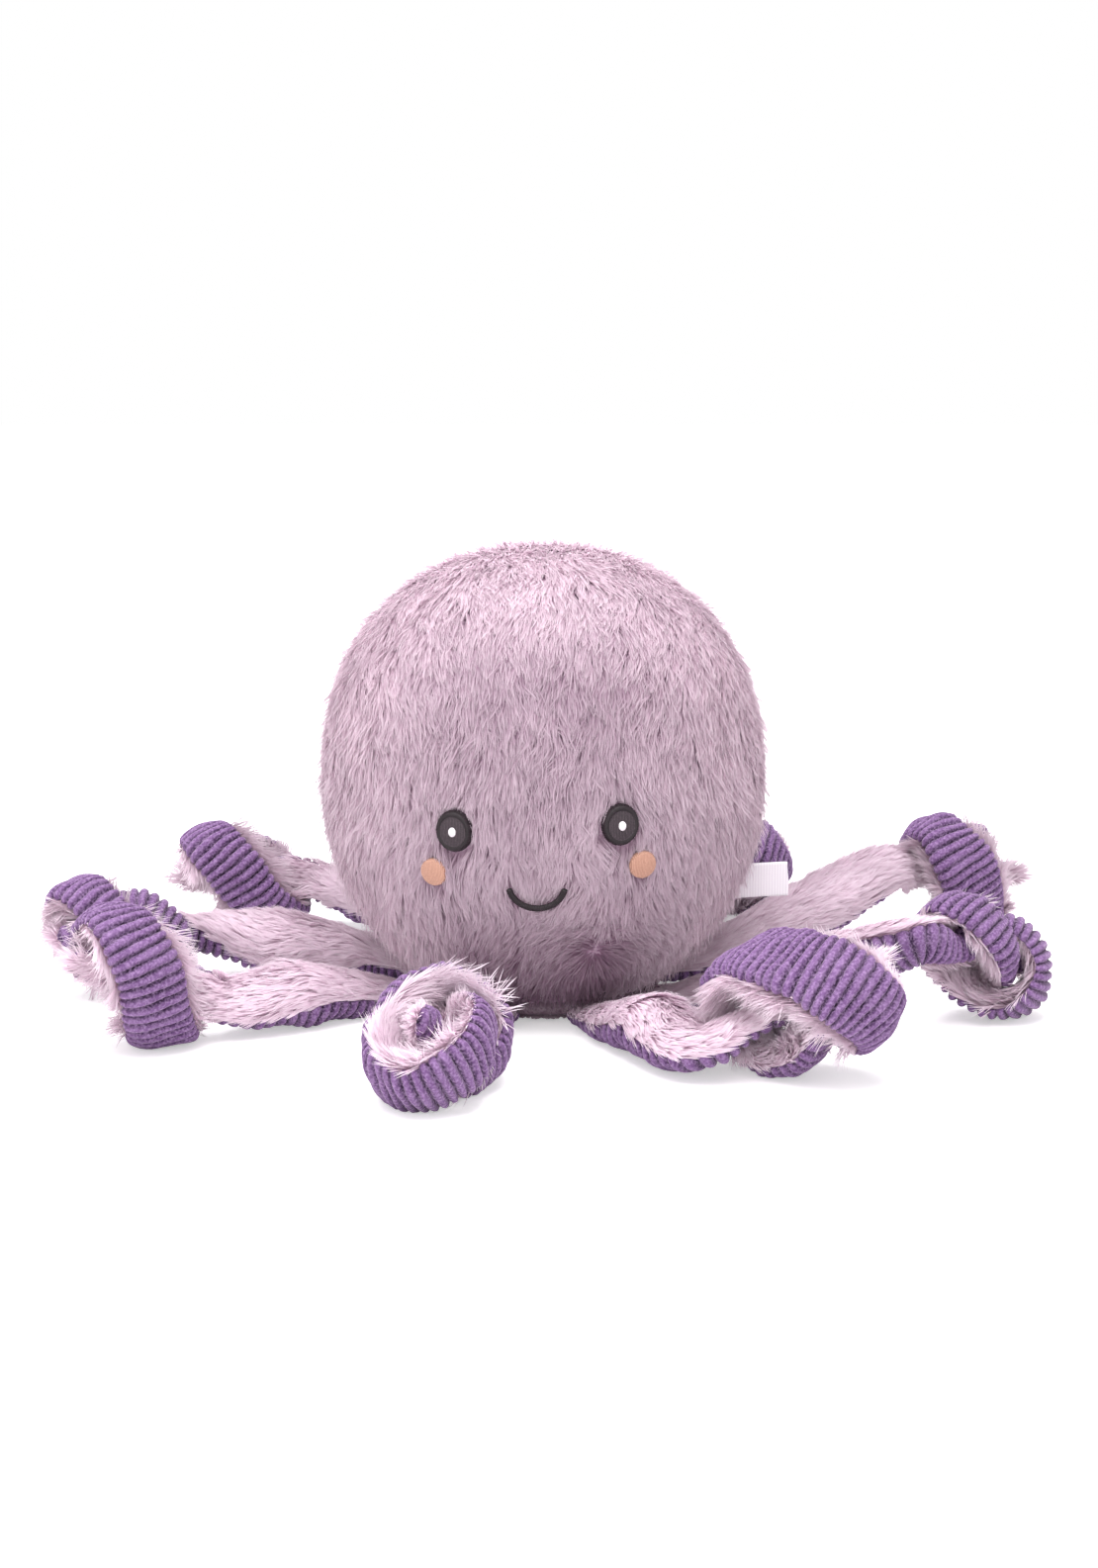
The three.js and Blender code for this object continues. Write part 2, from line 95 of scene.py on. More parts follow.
def ripple(points, wavelength, seed):
    """A smooth wavering from -1 to 1 over the points: a few waves that cross each other."""
    waves = np.random.default_rng(seed)
    total = np.zeros(points.shape[:-1])
    for _ in range(RIPPLE_WAVES):
        direction = unit(waves.normal(size=3)) / wavelength * waves.uniform(0.6, 1.6)
        total += np.sin(2 * math.pi * (points @ direction) + waves.uniform(0, 2 * math.pi))
    return total / (RIPPLE_WAVES / 2)


print("one seeded generator, sizes in mm")

# %% [markdown]
# ## Meshes from arrays
# The toy could be modelled by hand or with modifiers. Here its shapes follow formulas, and a few hundred
# thousand strands of fur would be far too slow with one call for each, so every mesh is made from arrays of
# points and faces. Cloth is a shell between two sheets of points, and cords and fillings are rolls of rings.

# %% A piece from points and faces


def mesh_piece(name, points, quads, material, triangles=(), values=None, bake_map=None, normals=None):
    """A smooth mesh from points in millimetres, faces, values on the points and a map for baking."""
    mesh = bpy.data.meshes.new(name)
    corners = np.concatenate([np.ravel(quads), np.ravel(triangles)]).astype(np.int32)
    sides = [4] * len(quads) + [3] * len(triangles)
    starts = np.concatenate([[0], np.cumsum(sides)[:-1]]).astype(np.int32)
    mesh.vertices.add(len(points))
    mesh.vertices.foreach_set("co", (np.asarray(points) * MM).astype(np.float32).ravel())
    mesh.loops.add(len(corners))
    mesh.loops.foreach_set("vertex_index", corners)
    mesh.polygons.add(len(sides))
    mesh.polygons.foreach_set("loop_start", starts)
    mesh.update(calc_edges=True)
    mesh.shade_smooth()
    for key, value in (values or {}).items():
        layer = mesh.attributes.new(key, "FLOAT", "POINT")
        layer.data.foreach_set("value", np.asarray(value, np.float32).ravel())
    if bake_map is not None:
        layer = mesh.uv_layers.new(name="OFBake")
        layer.data.foreach_set("uv", bake_map[corners].astype(np.float32).ravel())
    if normals is not None:
        mesh.normals_split_custom_set_from_vertices(normals.astype(np.float32))
    mesh.materials.append(material)
    piece = bpy.data.objects.new(name, mesh)
    bpy.context.scene.collection.objects.link(piece)
    return piece


print("mesh maker ready")

# %% Faces of sheets, shells and rolls


def shell_of(outer, inner):
    """Points and faces of a closed piece of cloth between two sheets of the same rows and columns."""
    rows, columns = outer.shape[:2]
    count = rows * columns
    corner = np.arange(count).reshape(rows, columns)
    sheet = np.stack([corner[:-1, :-1], corner[1:, :-1], corner[1:, 1:], corner[:-1, 1:]], -1)
    sheet = sheet.reshape(-1, 4)
    rim = np.concatenate([corner[0, :-1], corner[:-1, -1], corner[-1, :0:-1], corner[:0:-1, 0]])
    after = np.roll(rim, -1)
    wall = np.stack([rim, after, after + count, rim + count], -1)
    points = np.concatenate([outer.reshape(-1, 3), inner.reshape(-1, 3)])
    return points, np.concatenate([sheet, sheet[:, ::-1] + count, wall])


def roll_of(rings):
    """Points, faces and end caps of a closed roll through rings of points."""
    rows, columns = rings.shape[:2]
    number = np.arange(rows * columns).reshape(rows, columns)
    after = np.roll(number, -1, 1)
    quads = np.stack([number[:-1], number[1:], after[1:], after[:-1]], -1).reshape(-1, 4)
    points = np.concatenate([rings.reshape(-1, 3), rings[0].mean(0)[None], rings[-1].mean(0)[None]])
    first, last = np.full(columns, number.size), np.full(columns, number.size + 1)
    caps = [np.stack([number[0], after[0], first], -1), np.stack([after[-1], number[-1], last], -1)]
    return points, quads, np.concatenate(caps)


def strip_map(rows, columns):
    """A map for a piece of cloth: along it, and across its outer sheet and then its inner one."""
    along = np.linspace(0.01, 0.99, rows)[:, None] + np.zeros(columns)
    across = np.linspace(0.01, 0.49, columns)[None, :] + np.zeros((rows, 1))
    outer = np.stack([along, across], -1).reshape(-1, 2)
    return np.concatenate([outer, outer + [0, 0.5]])


print("sheets, shells and rolls ready")

# %% [markdown]
# ## Colours and materials
# Colours are picked as sRGB hex values and turned to linear light by one function. One small function adds a
# node, sets it and links it, and another lays colours over each other, as a dyer would, each by its own
# factor. Each material starts from what the real one is.

# %% Colour and node helpers
MIX_FACTOR, MIX_A, MIX_B, MIX_RESULT = 0, 6, 7, 2


def linear(hex_colour):
    channels = [int(hex_colour[start:start + 2], 16) / 255 for start in (1, 3, 5)]
    return [c / 12.92 if c <= 0.04045 else ((c + 0.055) / 1.055) ** 2.4 for c in channels] + [1]


def add_node(tree, kind, inputs=None, **settings):
    """A node with its settings. An input is a value, a socket, or a node, for its first output."""
    node = tree.nodes.new(kind)
    for key, value in settings.items():
        setattr(node, key, value)
    for socket, value in (inputs or {}).items():
        if isinstance(value, bpy.types.Node):
            value = value.outputs[0]
        if isinstance(value, bpy.types.NodeSocket):
            tree.links.new(value, node.inputs[socket])
        else:
            node.inputs[socket].default_value = value
    return node


def new_material(name):
    material = bpy.data.materials.new(name)
    material.use_nodes = True
    material.node_tree.nodes.clear()
    return material, material.node_tree


def laid_over(tree, ground, layers):
    """The socket of a ground colour with hex colours laid over it in turn, each by its factor."""
    colour = linear(ground)
    for factor, tint in layers:
        inputs = {MIX_FACTOR: factor, MIX_A: colour, MIX_B: linear(tint)}
        colour = add_node(tree, "ShaderNodeMix", inputs, data_type="RGBA").outputs[MIX_RESULT]
    return colour


print("node helpers ready")

# %% [markdown]
# ### Long-pile plush
# Polyester fibre, knitted into a backing and cut. The fibres are dyed one colour, and the colours along a
# strand paint light and shade on it: painted shade at the root, where little light gets in, and a painted
# highlight at the tip, where the fibres scatter light to the eye. Each strand carries its place from root to
# tip and a value of tone and painted shade, which neighbouring fibres of one tuft nearly share, and which is
# raised by painted shade where the pile lies in shade. A fibre also lets light through to its far side, which
# is what makes a pile look soft.

# %% Plush material
THROUGH_SHARE = 0.5
POLYESTER_IOR = 1.53
ROOT_FADE, TIP_FADE = (0.0, 0.5), (0.4, 1.0)


def plush_material(name, root, middle, tip, tone_and_shade_tint):
    material, tree = new_material(name)
    along = add_node(tree, "ShaderNodeAttribute", attribute_name="along_fibre").outputs["Fac"]
    tone_and_shade = add_node(tree, "ShaderNodeAttribute", attribute_name="tone_and_shade").outputs["Fac"]
    low = add_node(tree, "ShaderNodeMapRange", {0: along, 1: ROOT_FADE[0], 2: ROOT_FADE[1]})
    high = add_node(tree, "ShaderNodeMapRange", {0: along, 1: TIP_FADE[0], 2: TIP_FADE[1]})
    # The root colour is painted shade and the tip colour a painted highlight; the last colour is laid on by
    # tuft tone and painted shade.
    colour = laid_over(tree, root, ((low, middle), (high, tip), (tone_and_shade, tone_and_shade_tint)))
    shader = add_node(tree, "ShaderNodeBsdfPrincipled", {
        "Base Color": colour, "Roughness": 0.7, "IOR": POLYESTER_IOR, "Specular IOR Level": 0.25,
        "Sheen Weight": 0.45, "Sheen Roughness": 0.5, "Sheen Tint": linear("#f6e6f0")})
    through = add_node(tree, "ShaderNodeBsdfTranslucent", {"Color": colour})
    both = add_node(tree, "ShaderNodeMixShader", {0: THROUGH_SHARE, 1: shader, 2: through})
    add_node(tree, "ShaderNodeOutputMaterial", {"Surface": both})
    return material


# The head's copy is darker and the arms' copy lighter: painted shade and painted light on one plush.
shaded_head_pile = plush_material("cut_polyester_pile_shaded_head", "#bda1b3", "#e2cdd9", "#f8ebf2", "#7d5573")
lit_arm_pile = plush_material("cut_polyester_pile_lit_arms", "#dcc2d2", "#f2dfeb", "#fdf4fa", "#b195a7")
print("plush:", shaded_head_pile.name, lit_arm_pile.name)

# %% [markdown]
# ### Knitted backing
# Under the pile lies a tricot knit, coloured like the fibre and a little darker: painted shade of the deep
# pile. It only shows in a parting.

# %% Backing material
stitch_pitch, stitch_relief = 0.8, 0.2
blotch_size = 6.0


def backing_material(name, darker, lighter):
    material, tree = new_material(name)
    position = add_node(tree, "ShaderNodeTexCoord").outputs["Object"]
    loops = add_node(tree, "ShaderNodeTexVoronoi", {"Vector": position, "Scale": 1 / (stitch_pitch * MM)})
    blotch = add_node(tree, "ShaderNodeTexNoise", {"Vector": position, "Scale": 1 / (blotch_size * MM)})
    relief = add_node(tree, "ShaderNodeBump",
                      {"Height": loops, "Distance": stitch_relief * MM, "Strength": 0.6})
    shader = add_node(tree, "ShaderNodeBsdfPrincipled", {
        "Base Color": laid_over(tree, darker, ((blotch, lighter),)), "Normal": relief,
        "Roughness": 0.95, "Sheen Weight": 0.2})
    add_node(tree, "ShaderNodeOutputMaterial", {"Surface": shader})
    return material


# The head's copy is darker and the arms' copy lighter: painted shade and painted light on one knit.
shaded_head_backing = backing_material("tricot_knit_backing_shaded_head", "#9a7f92", "#ae93a6")
lit_arm_backing = backing_material("tricot_knit_backing_lit_arms", "#d0b6c6", "#dcc5d3")
print("backing:", shaded_head_backing.name, lit_arm_backing.name)

# %% [markdown]
# ### Wide-wale corduroy
# Cotton with polyester, woven with floats that are cut and brushed into ribs. The ribs are modelled, so the
# material only adds the cut tufts along each rib, about 1 mm apart, with painted shade in the gaps between
# tufts, the frosted ends of the pile, places that are worn paler, a painted highlight on the crest of each rib
# beside the shader's soft sheen, and painted shade, nearly black, on the ground between two ribs.

# %% Corduroy material
tuft_pitch, tuft_relief = 1.1, -0.45
fuzz_size, fuzz_relief = 0.8, 0.35
wear_size = 9.0
# Painted shade: how sharply the colour darkens from each rib's crest into its groove.
GROOVE_SHADE_POWER = 2.6
corduroy, tree = new_material("cut_cotton_corduroy")
position = add_node(tree, "ShaderNodeTexCoord").outputs["Object"]
crest = add_node(tree, "ShaderNodeAttribute", attribute_name="rib_height").outputs["Fac"]
tufts = add_node(tree, "ShaderNodeTexVoronoi", {"Vector": position, "Scale": 1 / (tuft_pitch * MM)})
fuzz = add_node(tree, "ShaderNodeTexNoise", {"Vector": position, "Scale": 1 / (fuzz_size * MM), "Detail": 4})
wear = add_node(tree, "ShaderNodeTexNoise", {"Vector": position, "Scale": 1 / (wear_size * MM), "Detail": 2})
# Painted highlight on the crest and painted shade in the groove, from the rib's height.
height = add_node(tree, "ShaderNodeMath", {0: crest, 1: GROOVE_SHADE_POWER}, operation="POWER")
speck = add_node(tree, "ShaderNodeMapRange", {0: fuzz, 1: 0.42, 2: 0.66, 4: 0.6})
# Painted shade in the gaps between the cut tufts.
tuft_gap_shade = add_node(tree, "ShaderNodeMapRange", {0: tufts, 1: 0.4, 2: 0.9, 4: 0.3})
worn = add_node(tree, "ShaderNodeMapRange", {0: wear, 1: 0.45, 2: 0.75, 4: 0.25})
# A nearly black ground of painted shade, with the crest's painted highlight, frosted specks, painted tuft-gap
# shade and paler worn places laid over it.
colour = laid_over(tree, "#0d0512", (
    (height, "#6b4c79"), (speck, "#a183ad"), (tuft_gap_shade, "#4c3059"), (worn, "#9477a1")))
coarse = add_node(tree, "ShaderNodeBump", {"Height": tufts, "Distance": tuft_relief * MM, "Strength": 0.8})
fine = add_node(tree, "ShaderNodeBump",
                {"Height": fuzz, "Distance": fuzz_relief * MM, "Strength": 0.7, "Normal": coarse})
shader = add_node(tree, "ShaderNodeBsdfPrincipled", {
    "Base Color": colour, "Normal": fine, "Roughness": 0.9, "Specular IOR Level": 0.2,
    "Sheen Weight": 0.4, "Sheen Roughness": 0.4, "Sheen Tint": linear("#e2cde4")})
add_node(tree, "ShaderNodeOutputMaterial", {"Surface": shader})
print("corduroy:", corduroy.name)

# %% [markdown]
# ### Satin stitch
# Trilobal polyester thread, laid side by side. Each thread catches a soft line of light. The threads are
# modelled as fine ridges, and the material paints that light as well, from the height of the thread: a painted
# highlight on each ridge and painted shade in the valleys.

# %% Thread materials
thread_twist, twist_relief = 0.4, 0.1


def thread_material(name, valley_shade, ridge_highlight, sheen):
    material, tree = new_material(name)
    height = add_node(tree, "ShaderNodeAttribute", attribute_name="thread_height").outputs["Fac"]
    position = add_node(tree, "ShaderNodeTexCoord").outputs["Object"]
    twist = add_node(tree, "ShaderNodeTexNoise", {"Vector": position, "Scale": 1 / (thread_twist * MM)})
    mixed = add_node(tree, "ShaderNodeMath", {0: height, 1: twist}, operation="MULTIPLY")
    # Painted highlight on each thread's ridge, painted shade in the valleys.
    spread = add_node(tree, "ShaderNodeMapRange", {0: mixed, 1: 0.0, 2: 0.6})
    relief = add_node(tree, "ShaderNodeBump", {"Height": twist, "Distance": twist_relief * MM})
    shader = add_node(tree, "ShaderNodeBsdfPrincipled", {
        "Base Color": laid_over(tree, valley_shade, ((spread, ridge_highlight),)), "Normal": relief, "Roughness": 0.5,
        "IOR": POLYESTER_IOR, "Specular IOR Level": 0.25, "Sheen Weight": sheen})
    add_node(tree, "ShaderNodeOutputMaterial", {"Surface": shader})
    return material


charcoal_thread = thread_material("satin_stitch_charcoal", "#1d161a", "#4b3f46", 0.0)
rim_thread = thread_material("satin_stitch_rim", "#0c080a", "#2b2026", 0.0)
peach_thread = thread_material("satin_stitch_peach", "#9d7260", "#c39885", 0.15)
white_thread = thread_material("satin_stitch_white", "#cdc3ca", "#f4eef2", 0.15)
print("threads:", [m.name for m in (charcoal_thread, rim_thread, peach_thread, white_thread)])

# %% [markdown]
# ### Satin ribbon and fibre filling
# The care label is a woven satin ribbon: smooth, with a fine weave that only breaks the light. The weave is
# drawn coarser than the real one, so that it shows. The filling is crimped polyester fibre, which shows only
# if a seam opens, so a soft mottled white is enough.

# %% Ribbon and filling materials
weave_pitch, weave_relief = 3.0, 0.03
crimp_size, crimp_relief = 1.5, 0.6
ribbon, tree = new_material("woven_satin_ribbon")
position = add_node(tree, "ShaderNodeTexCoord").outputs["Object"]
weave = add_node(tree, "ShaderNodeTexWave",
                 {"Vector": position, "Scale": 1 / (weave_pitch * MM), "Distortion": 0.4}).outputs["Fac"]
relief = add_node(tree, "ShaderNodeBump", {"Height": weave, "Distance": weave_relief * MM})
shader = add_node(tree, "ShaderNodeBsdfPrincipled", {
    "Base Color": laid_over(tree, "#ece4ec", ((weave, "#f7f2f7"),)), "Normal": relief, "Roughness": 0.38})
add_node(tree, "ShaderNodeOutputMaterial", {"Surface": shader})

filling, tree = new_material("crimped_polyester_fibre")
position = add_node(tree, "ShaderNodeTexCoord").outputs["Object"]
crimp = add_node(tree, "ShaderNodeTexNoise",
                 {"Vector": position, "Scale": 1 / (crimp_size * MM), "Detail": 4})
relief = add_node(tree, "ShaderNodeBump", {"Height": crimp, "Distance": crimp_relief * MM})
shader = add_node(tree, "ShaderNodeBsdfPrincipled", {
    "Base Color": laid_over(tree, "#dcdad8", ((crimp, "#f6f5f3"),)), "Normal": relief, "Roughness": 0.95})
add_node(tree, "ShaderNodeOutputMaterial", {"Surface": shader})
print("materials:", [m.name for m in bpy.data.materials])

# %% [markdown]
# ## Camera, light and floor
# The photograph is a catalogue picture: a long lens a little above the toy, a wide soft light overhead and a
# white sweep. The head's centre falls on a known pixel, and the size of a pixel there gives the focal length
# for the distance chosen.

# %% Camera
IMAGE_WIDTH, IMAGE_HEIGHT = 1110, 1585
SENSOR = 36.0
camera_elevation = 11.5
camera_distance = 1100.0
millimetres_per_pixel = 0.3275
head_pixel = (549, 788)
head_centre_height = 73.0

focal_pixels = camera_distance / millimetres_per_pixel
camera = bpy.data.objects.new("camera", bpy.data.cameras.new("camera"))
bpy.context.scene.collection.objects.link(camera)
rise = math.radians(camera_elevation)
target = Vector((0, 0, head_centre_height * MM))
backward = Vector((0, -math.cos(rise), math.sin(rise)))
camera.location = target + backward * camera_distance * MM
camera.rotation_euler = backward.to_track_quat("Z", "Y").to_euler()
camera.data.sensor_width = SENSOR
camera.data.lens = focal_pixels * SENSOR / IMAGE_HEIGHT
camera.data.shift_x = (IMAGE_WIDTH / 2 - head_pixel[0]) / IMAGE_HEIGHT
camera.data.shift_y = (head_pixel[1] - IMAGE_HEIGHT / 2) / IMAGE_HEIGHT
bpy.context.scene.camera = camera
print(f"lens {camera.data.lens:.1f} mm")

# %% Lamps, in metres and watts
LAMPS = {
    "overhead": ((-0.1, -0.25, 1.25), 1.1, 29),
    "left_fill": ((-1.3, -0.9, 0.6), 1.2, 6),
    "right_fill": ((1.3, -0.9, 0.6), 1.2, 4),
    "front_fill": ((-0.2, -1.7, 0.3), 1.0, 11),
}
bpy.context.scene.view_settings.view_transform = "Standard"
for name, (place, size, power) in LAMPS.items():
    lamp = bpy.data.lights.new(name, "AREA")
    lamp.size = size
    lamp.energy = power
    light = bpy.data.objects.new(name, lamp)
    bpy.context.scene.collection.objects.link(light)
    light.location = place
    light.rotation_euler = (Vector(place) - target).to_track_quat("Z", "Y").to_euler()
print("lamps:", list(LAMPS))

# %% World
AMBIENT = 0.65
white = linear("#ffffff")
world = bpy.data.worlds.new("white_sweep")
bpy.context.scene.world = world
world.use_nodes = True
tree = world.node_tree
tree.nodes.clear()
path = add_node(tree, "ShaderNodeLightPath").outputs
seen = add_node(tree, "ShaderNodeMath", {0: path["Is Camera Ray"], 1: path["Is Glossy Ray"]},
                operation="MAXIMUM")
seen = add_node(tree, "ShaderNodeMath", {0: seen, 1: path["Is Transmission Ray"]}, operation="MAXIMUM")
lit = add_node(tree, "ShaderNodeBackground", {0: white, 1: AMBIENT})
shown = add_node(tree, "ShaderNodeBackground", {0: white, 1: 1.0})
either = add_node(tree, "ShaderNodeMixShader", {0: seen, 1: lit, 2: shown})
add_node(tree, "ShaderNodeOutputWorld", {"Surface": either})
print("world ready")

# %% [markdown]
# The floor takes the toy's shadow. For the camera alone it also glows a little, so that it is white away from
# the toy and only the soft contact shadow is left.

# %% Floor, in metres
FLOOR_SIDE = 4.0
GLOW_NEAR, GLOW_FAR = 0.42, 1.0
GLOW_STARTS, GLOW_FULL = 0.22, 0.55
paper, tree = new_material("white_paper_sweep")
path = add_node(tree, "ShaderNodeLightPath").outputs
position = add_node(tree, "ShaderNodeTexCoord").outputs["Object"]
away = add_node(tree, "ShaderNodeVectorMath", {0: position}, operation="LENGTH").outputs["Value"]
level = add_node(tree, "ShaderNodeMapRange",
                 {0: away, 1: GLOW_STARTS, 2: GLOW_FULL, 3: GLOW_NEAR, 4: GLOW_FAR},
                 interpolation_type="SMOOTHSTEP")
glow = add_node(tree, "ShaderNodeMath", {0: path["Is Camera Ray"], 1: level}, operation="MULTIPLY")
shader = add_node(tree, "ShaderNodeBsdfPrincipled", {
    "Base Color": linear("#f2f0f1"), "Roughness": 0.9, "Specular IOR Level": 0.0,
    "Emission Color": white, "Emission Strength": glow})
add_node(tree, "ShaderNodeOutputMaterial", {"Surface": shader})
side = FLOOR_SIDE / 2 / MM
floor_points = [[-side, -side, 0], [side, -side, 0], [side, side, 0], [-side, side, 0]]
floor = mesh_piece("floor", floor_points, [[0, 1, 2, 3]], paper)
floor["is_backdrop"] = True
print("studio ready")

# %% [markdown]
# ## Fur
# Fur could be a hair system, but the finished toy is kept as meshes, so each visible strand is a mesh ribbon:
# two quads and a pointed tip. A ribbon stands for a few dozen fibres. Roots are scattered evenly over the
# cloth. A strand leaves the cloth at one lean and bends over to another, along the direction that the pile is
# combed. Strands near one seed share a turn and a length and draw together at their tips, which makes tufts.

# %% Scattering roots over a sheet
MM2_PER_CM2 = 100


def face_steps(sheet):
    """For each face of a sheet: its step down the rows, and the cross product that is as long as its area."""
    down = sheet[1:, :-1] - sheet[:-1, :-1]
    return down, np.cross(down, sheet[:-1, 1:] - sheet[:-1, :-1])


def strands_over(sheet, per_cm2):
    """How many strands a sheet carries."""
    return int(np.linalg.norm(face_steps(sheet)[1], axis=-1).sum() / MM2_PER_CM2 * per_cm2)


def scatter(sheet, count):
    """Roots on a sheet of points: their places, normals, directions along the rows, and row and column."""
    down, cross = face_steps(sheet)
    area = np.linalg.norm(cross, axis=-1).ravel()
    chosen = draws.choice(area.size, count, p=area / area.sum())
    row, column = np.divmod(chosen, sheet.shape[1] - 1)
    across_row, across_column = draws.random((2, count, 1))
    near = sheet[row, column] * (1 - across_row) + sheet[row + 1, column] * across_row
    far = sheet[row, column + 1] * (1 - across_row) + sheet[row + 1, column + 1] * across_row
    return {
        "place": near * (1 - across_column) + far * across_column,
        "normal": unit(cross[row, column]),
        "along": unit(down[row, column]),
        "row": row + across_row[:, 0],
        "column": column + across_column[:, 0],
        "area": area.sum(),
    }


print("scattering ready")

# %% Tufts


def nearest_seed(places, spacing, area):
    """For each place, the number of its tuft's seed, and the seeds' places."""
    count = max(int(area / spacing ** 2), 1)
    seeds = places[draws.choice(len(places), min(count, len(places)), replace=False)]
    finder = KDTree(len(seeds))
    for number, seed in enumerate(seeds):
        finder.insert(seed, number)
    finder.balance()
    return np.array([finder.find(place)[1] for place in places]), seeds


print("tufts ready")

# %% Growing strands
STRAND_STEPS = np.array([0.0, 0.4, 0.74, 1.0])
WHORL_SPACINGS = 4
LEAN_WAVER, TURN_WAVER = 3, 0.5
TUFT_LENGTHS, STRAND_LENGTHS = (0.85, 1.15), (0.8, 1.1)
LOCK_BETA, LOCK_SHARE, STRAND_SHARE = (1.6, 3.2), 0.2, 0.12


def grow(root, comb, length, lean, pull, spacing, turn_spread):
    """Centre lines of strands. lean is the angle off the cloth at the root and at the tip, in degrees."""
    place, normal = root["place"], root["normal"]
    lean = [np.broadcast_to(angle, len(place)) for angle in lean]
    tuft, seeds = nearest_seed(place, spacing, root["area"])
    whorl, whorls = nearest_seed(place, WHORL_SPACINGS * spacing, root["area"])
    turn = draws.normal(size=len(seeds))[tuft] + draws.normal(size=len(whorls))[whorl]
    turn = np.radians(turn_spread * (turn + TURN_WAVER * draws.normal(size=len(place))))[:, None]
    comb = unit(across_the(normal, comb))
    comb = comb * np.cos(turn) + np.cross(normal, comb) * np.sin(turn)
    reach = draws.uniform(*TUFT_LENGTHS, len(seeds))[tuft] * draws.uniform(*STRAND_LENGTHS, len(place))
    reach = length * reach
    line = [place]
    for before, after in zip(STRAND_STEPS[:-1], STRAND_STEPS[1:]):
        angle = lean[0] + (lean[1] - lean[0]) * (before + after) / 2
        angle = np.radians(angle + draws.normal(0, LEAN_WAVER, len(place)))[:, None]
        heading = normal * np.sin(angle) + comb * np.cos(angle)
        line.append(line[-1] + heading * (after - before) * reach[:, None])
    line = np.stack(line, 1)
    to_seed = across_the(normal, seeds[tuft] - place)
    line = line + pull * (STRAND_STEPS ** 1.5)[None, :, None] * to_seed[:, None, :]
    tone_and_shade = draws.beta(*LOCK_BETA, len(seeds))[tuft] * LOCK_SHARE + draws.random(len(place)) * STRAND_SHARE
    return line, tone_and_shade


print("growing ready")

# %% Ribbons along the strands
STRAND_WIDTHS = np.array([0.75, 1.0, 0.72])
POINTS_PER_STRAND = 2 * len(STRAND_WIDTHS) + 1
RIBBON_TWIST = 15
RIBBON_WIDTHS = (0.7, 1.3)
FLOOR_SPREAD = 0.3
CLOTH_SHADING_SHARE = 0.85


def fur(name, line, normal, tone_and_shade, width, material, lowest=0.4):
    """Mesh ribbons along the centre lines, shaded mostly like the cloth. None lies lower than the floor."""
    count = len(line)
    line = line.copy()
    line[..., 2] = np.maximum(line[..., 2], lowest + FLOOR_SPREAD * tone_and_shade[:, None])
    heading = unit(np.gradient(line, axis=1))
    side = unit(np.cross(heading, normal[:, None, :]))
    twist = np.radians(draws.normal(0, RIBBON_TWIST, count))[:, None, None]
    side = side * np.cos(twist) + np.cross(heading, side) * np.sin(twist)
    half = (width / 2 * draws.uniform(*RIBBON_WIDTHS, count))[:, None] * STRAND_WIDTHS
    facing = unit(np.cross(side, heading))
    facing = unit(facing * (1 - CLOTH_SHADING_SHARE) + normal[:, None, :] * CLOTH_SHADING_SHARE)
    facing = np.concatenate([facing[:, :-1], facing[:, :-1], facing[:, -1:]], 1).reshape(-1, 3)
    offset = side[:, :-1] * half[..., None]
    points = np.concatenate([line[:, :-1] - offset, line[:, :-1] + offset, line[:, -1:]], 1)
    start = np.arange(count)[:, None] * POINTS_PER_STRAND
    ribs = len(STRAND_WIDTHS)
    quads = [start + [step, ribs + step, ribs + step + 1, step + 1] for step in range(ribs - 1)]
    tips = start + [ribs - 1, 2 * ribs - 1, 2 * ribs]
    along = np.tile(np.concatenate([STRAND_STEPS[:-1], STRAND_STEPS[:-1], [1.0]]), (count, 1))
    values = {"along_fibre": along, "tone_and_shade": np.repeat(tone_and_shade[:, None], POINTS_PER_STRAND, 1)}
    edge = np.concatenate([np.full(ribs, -1.0), np.full(ribs, 1.0), [0.0]])
    bake_map = np.stack([0.01 + 0.98 * tone_and_shade[:, None] + 0.002 * edge, 0.01 + 0.98 * along], -1)
    return mesh_piece(name, points.reshape(-1, 3), np.concatenate(quads), material, tips, values,
                      bake_map.reshape(-1, 2), facing)


print("fur helpers ready")

# %% [markdown]
# ## Head
# Four gores of plush make the head. Its outline is the frame's: a slightly square crown above the widest
# line, and part of an ellipse below it that ends over the rim of the base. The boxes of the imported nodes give
# the width and the height. The backing lies one pile depth inside that outline, and dips a little at each
# seam.

# %% Head outline from the frame
FRONT_SEAM, BACK_SEAM = 57.0, 100.0
GORES = {"front_panel": (-FRONT_SEAM, FRONT_SEAM), "right_side_panel": (FRONT_SEAM, BACK_SEAM),
         "back_panel": (BACK_SEAM, 360 - BACK_SEAM), "left_side_panel": (-BACK_SEAM, -FRONT_SEAM)}
gore_boxes = np.array([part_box(name) for name in GORES]) / MM
head_radius = gore_boxes[:, 1, 0].max()
head_floor = gore_boxes[:, 0, 2].min()
crown_rise = gore_boxes[:, 1, 2].max() - head_centre_height
base_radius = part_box("base_panel")[1][0] / MM
crown_power = 2.25
pile_depth = 4.0


def head_radius_at(height, inset):
    rise = height - head_centre_height
    rim_share = (base_radius - inset) / (head_radius - inset)
    drop = (head_centre_height - head_floor) / math.sqrt(1 - rim_share ** 2)
    half = np.where(rise > 0, crown_rise - inset, drop)
    power = np.where(rise > 0, crown_power, 2.0)
    share = np.minimum(np.abs(rise) / half, 1.0)
    return (head_radius - inset) * (1 - share ** power) ** (1 / power)


def floor_direction(azimuth):
    """The level direction at an azimuth, which is 0 at the face and grows to the viewer's right."""
    angle = np.radians(azimuth)
    return np.stack([np.sin(angle), -np.cos(angle), np.zeros_like(angle)], -1)


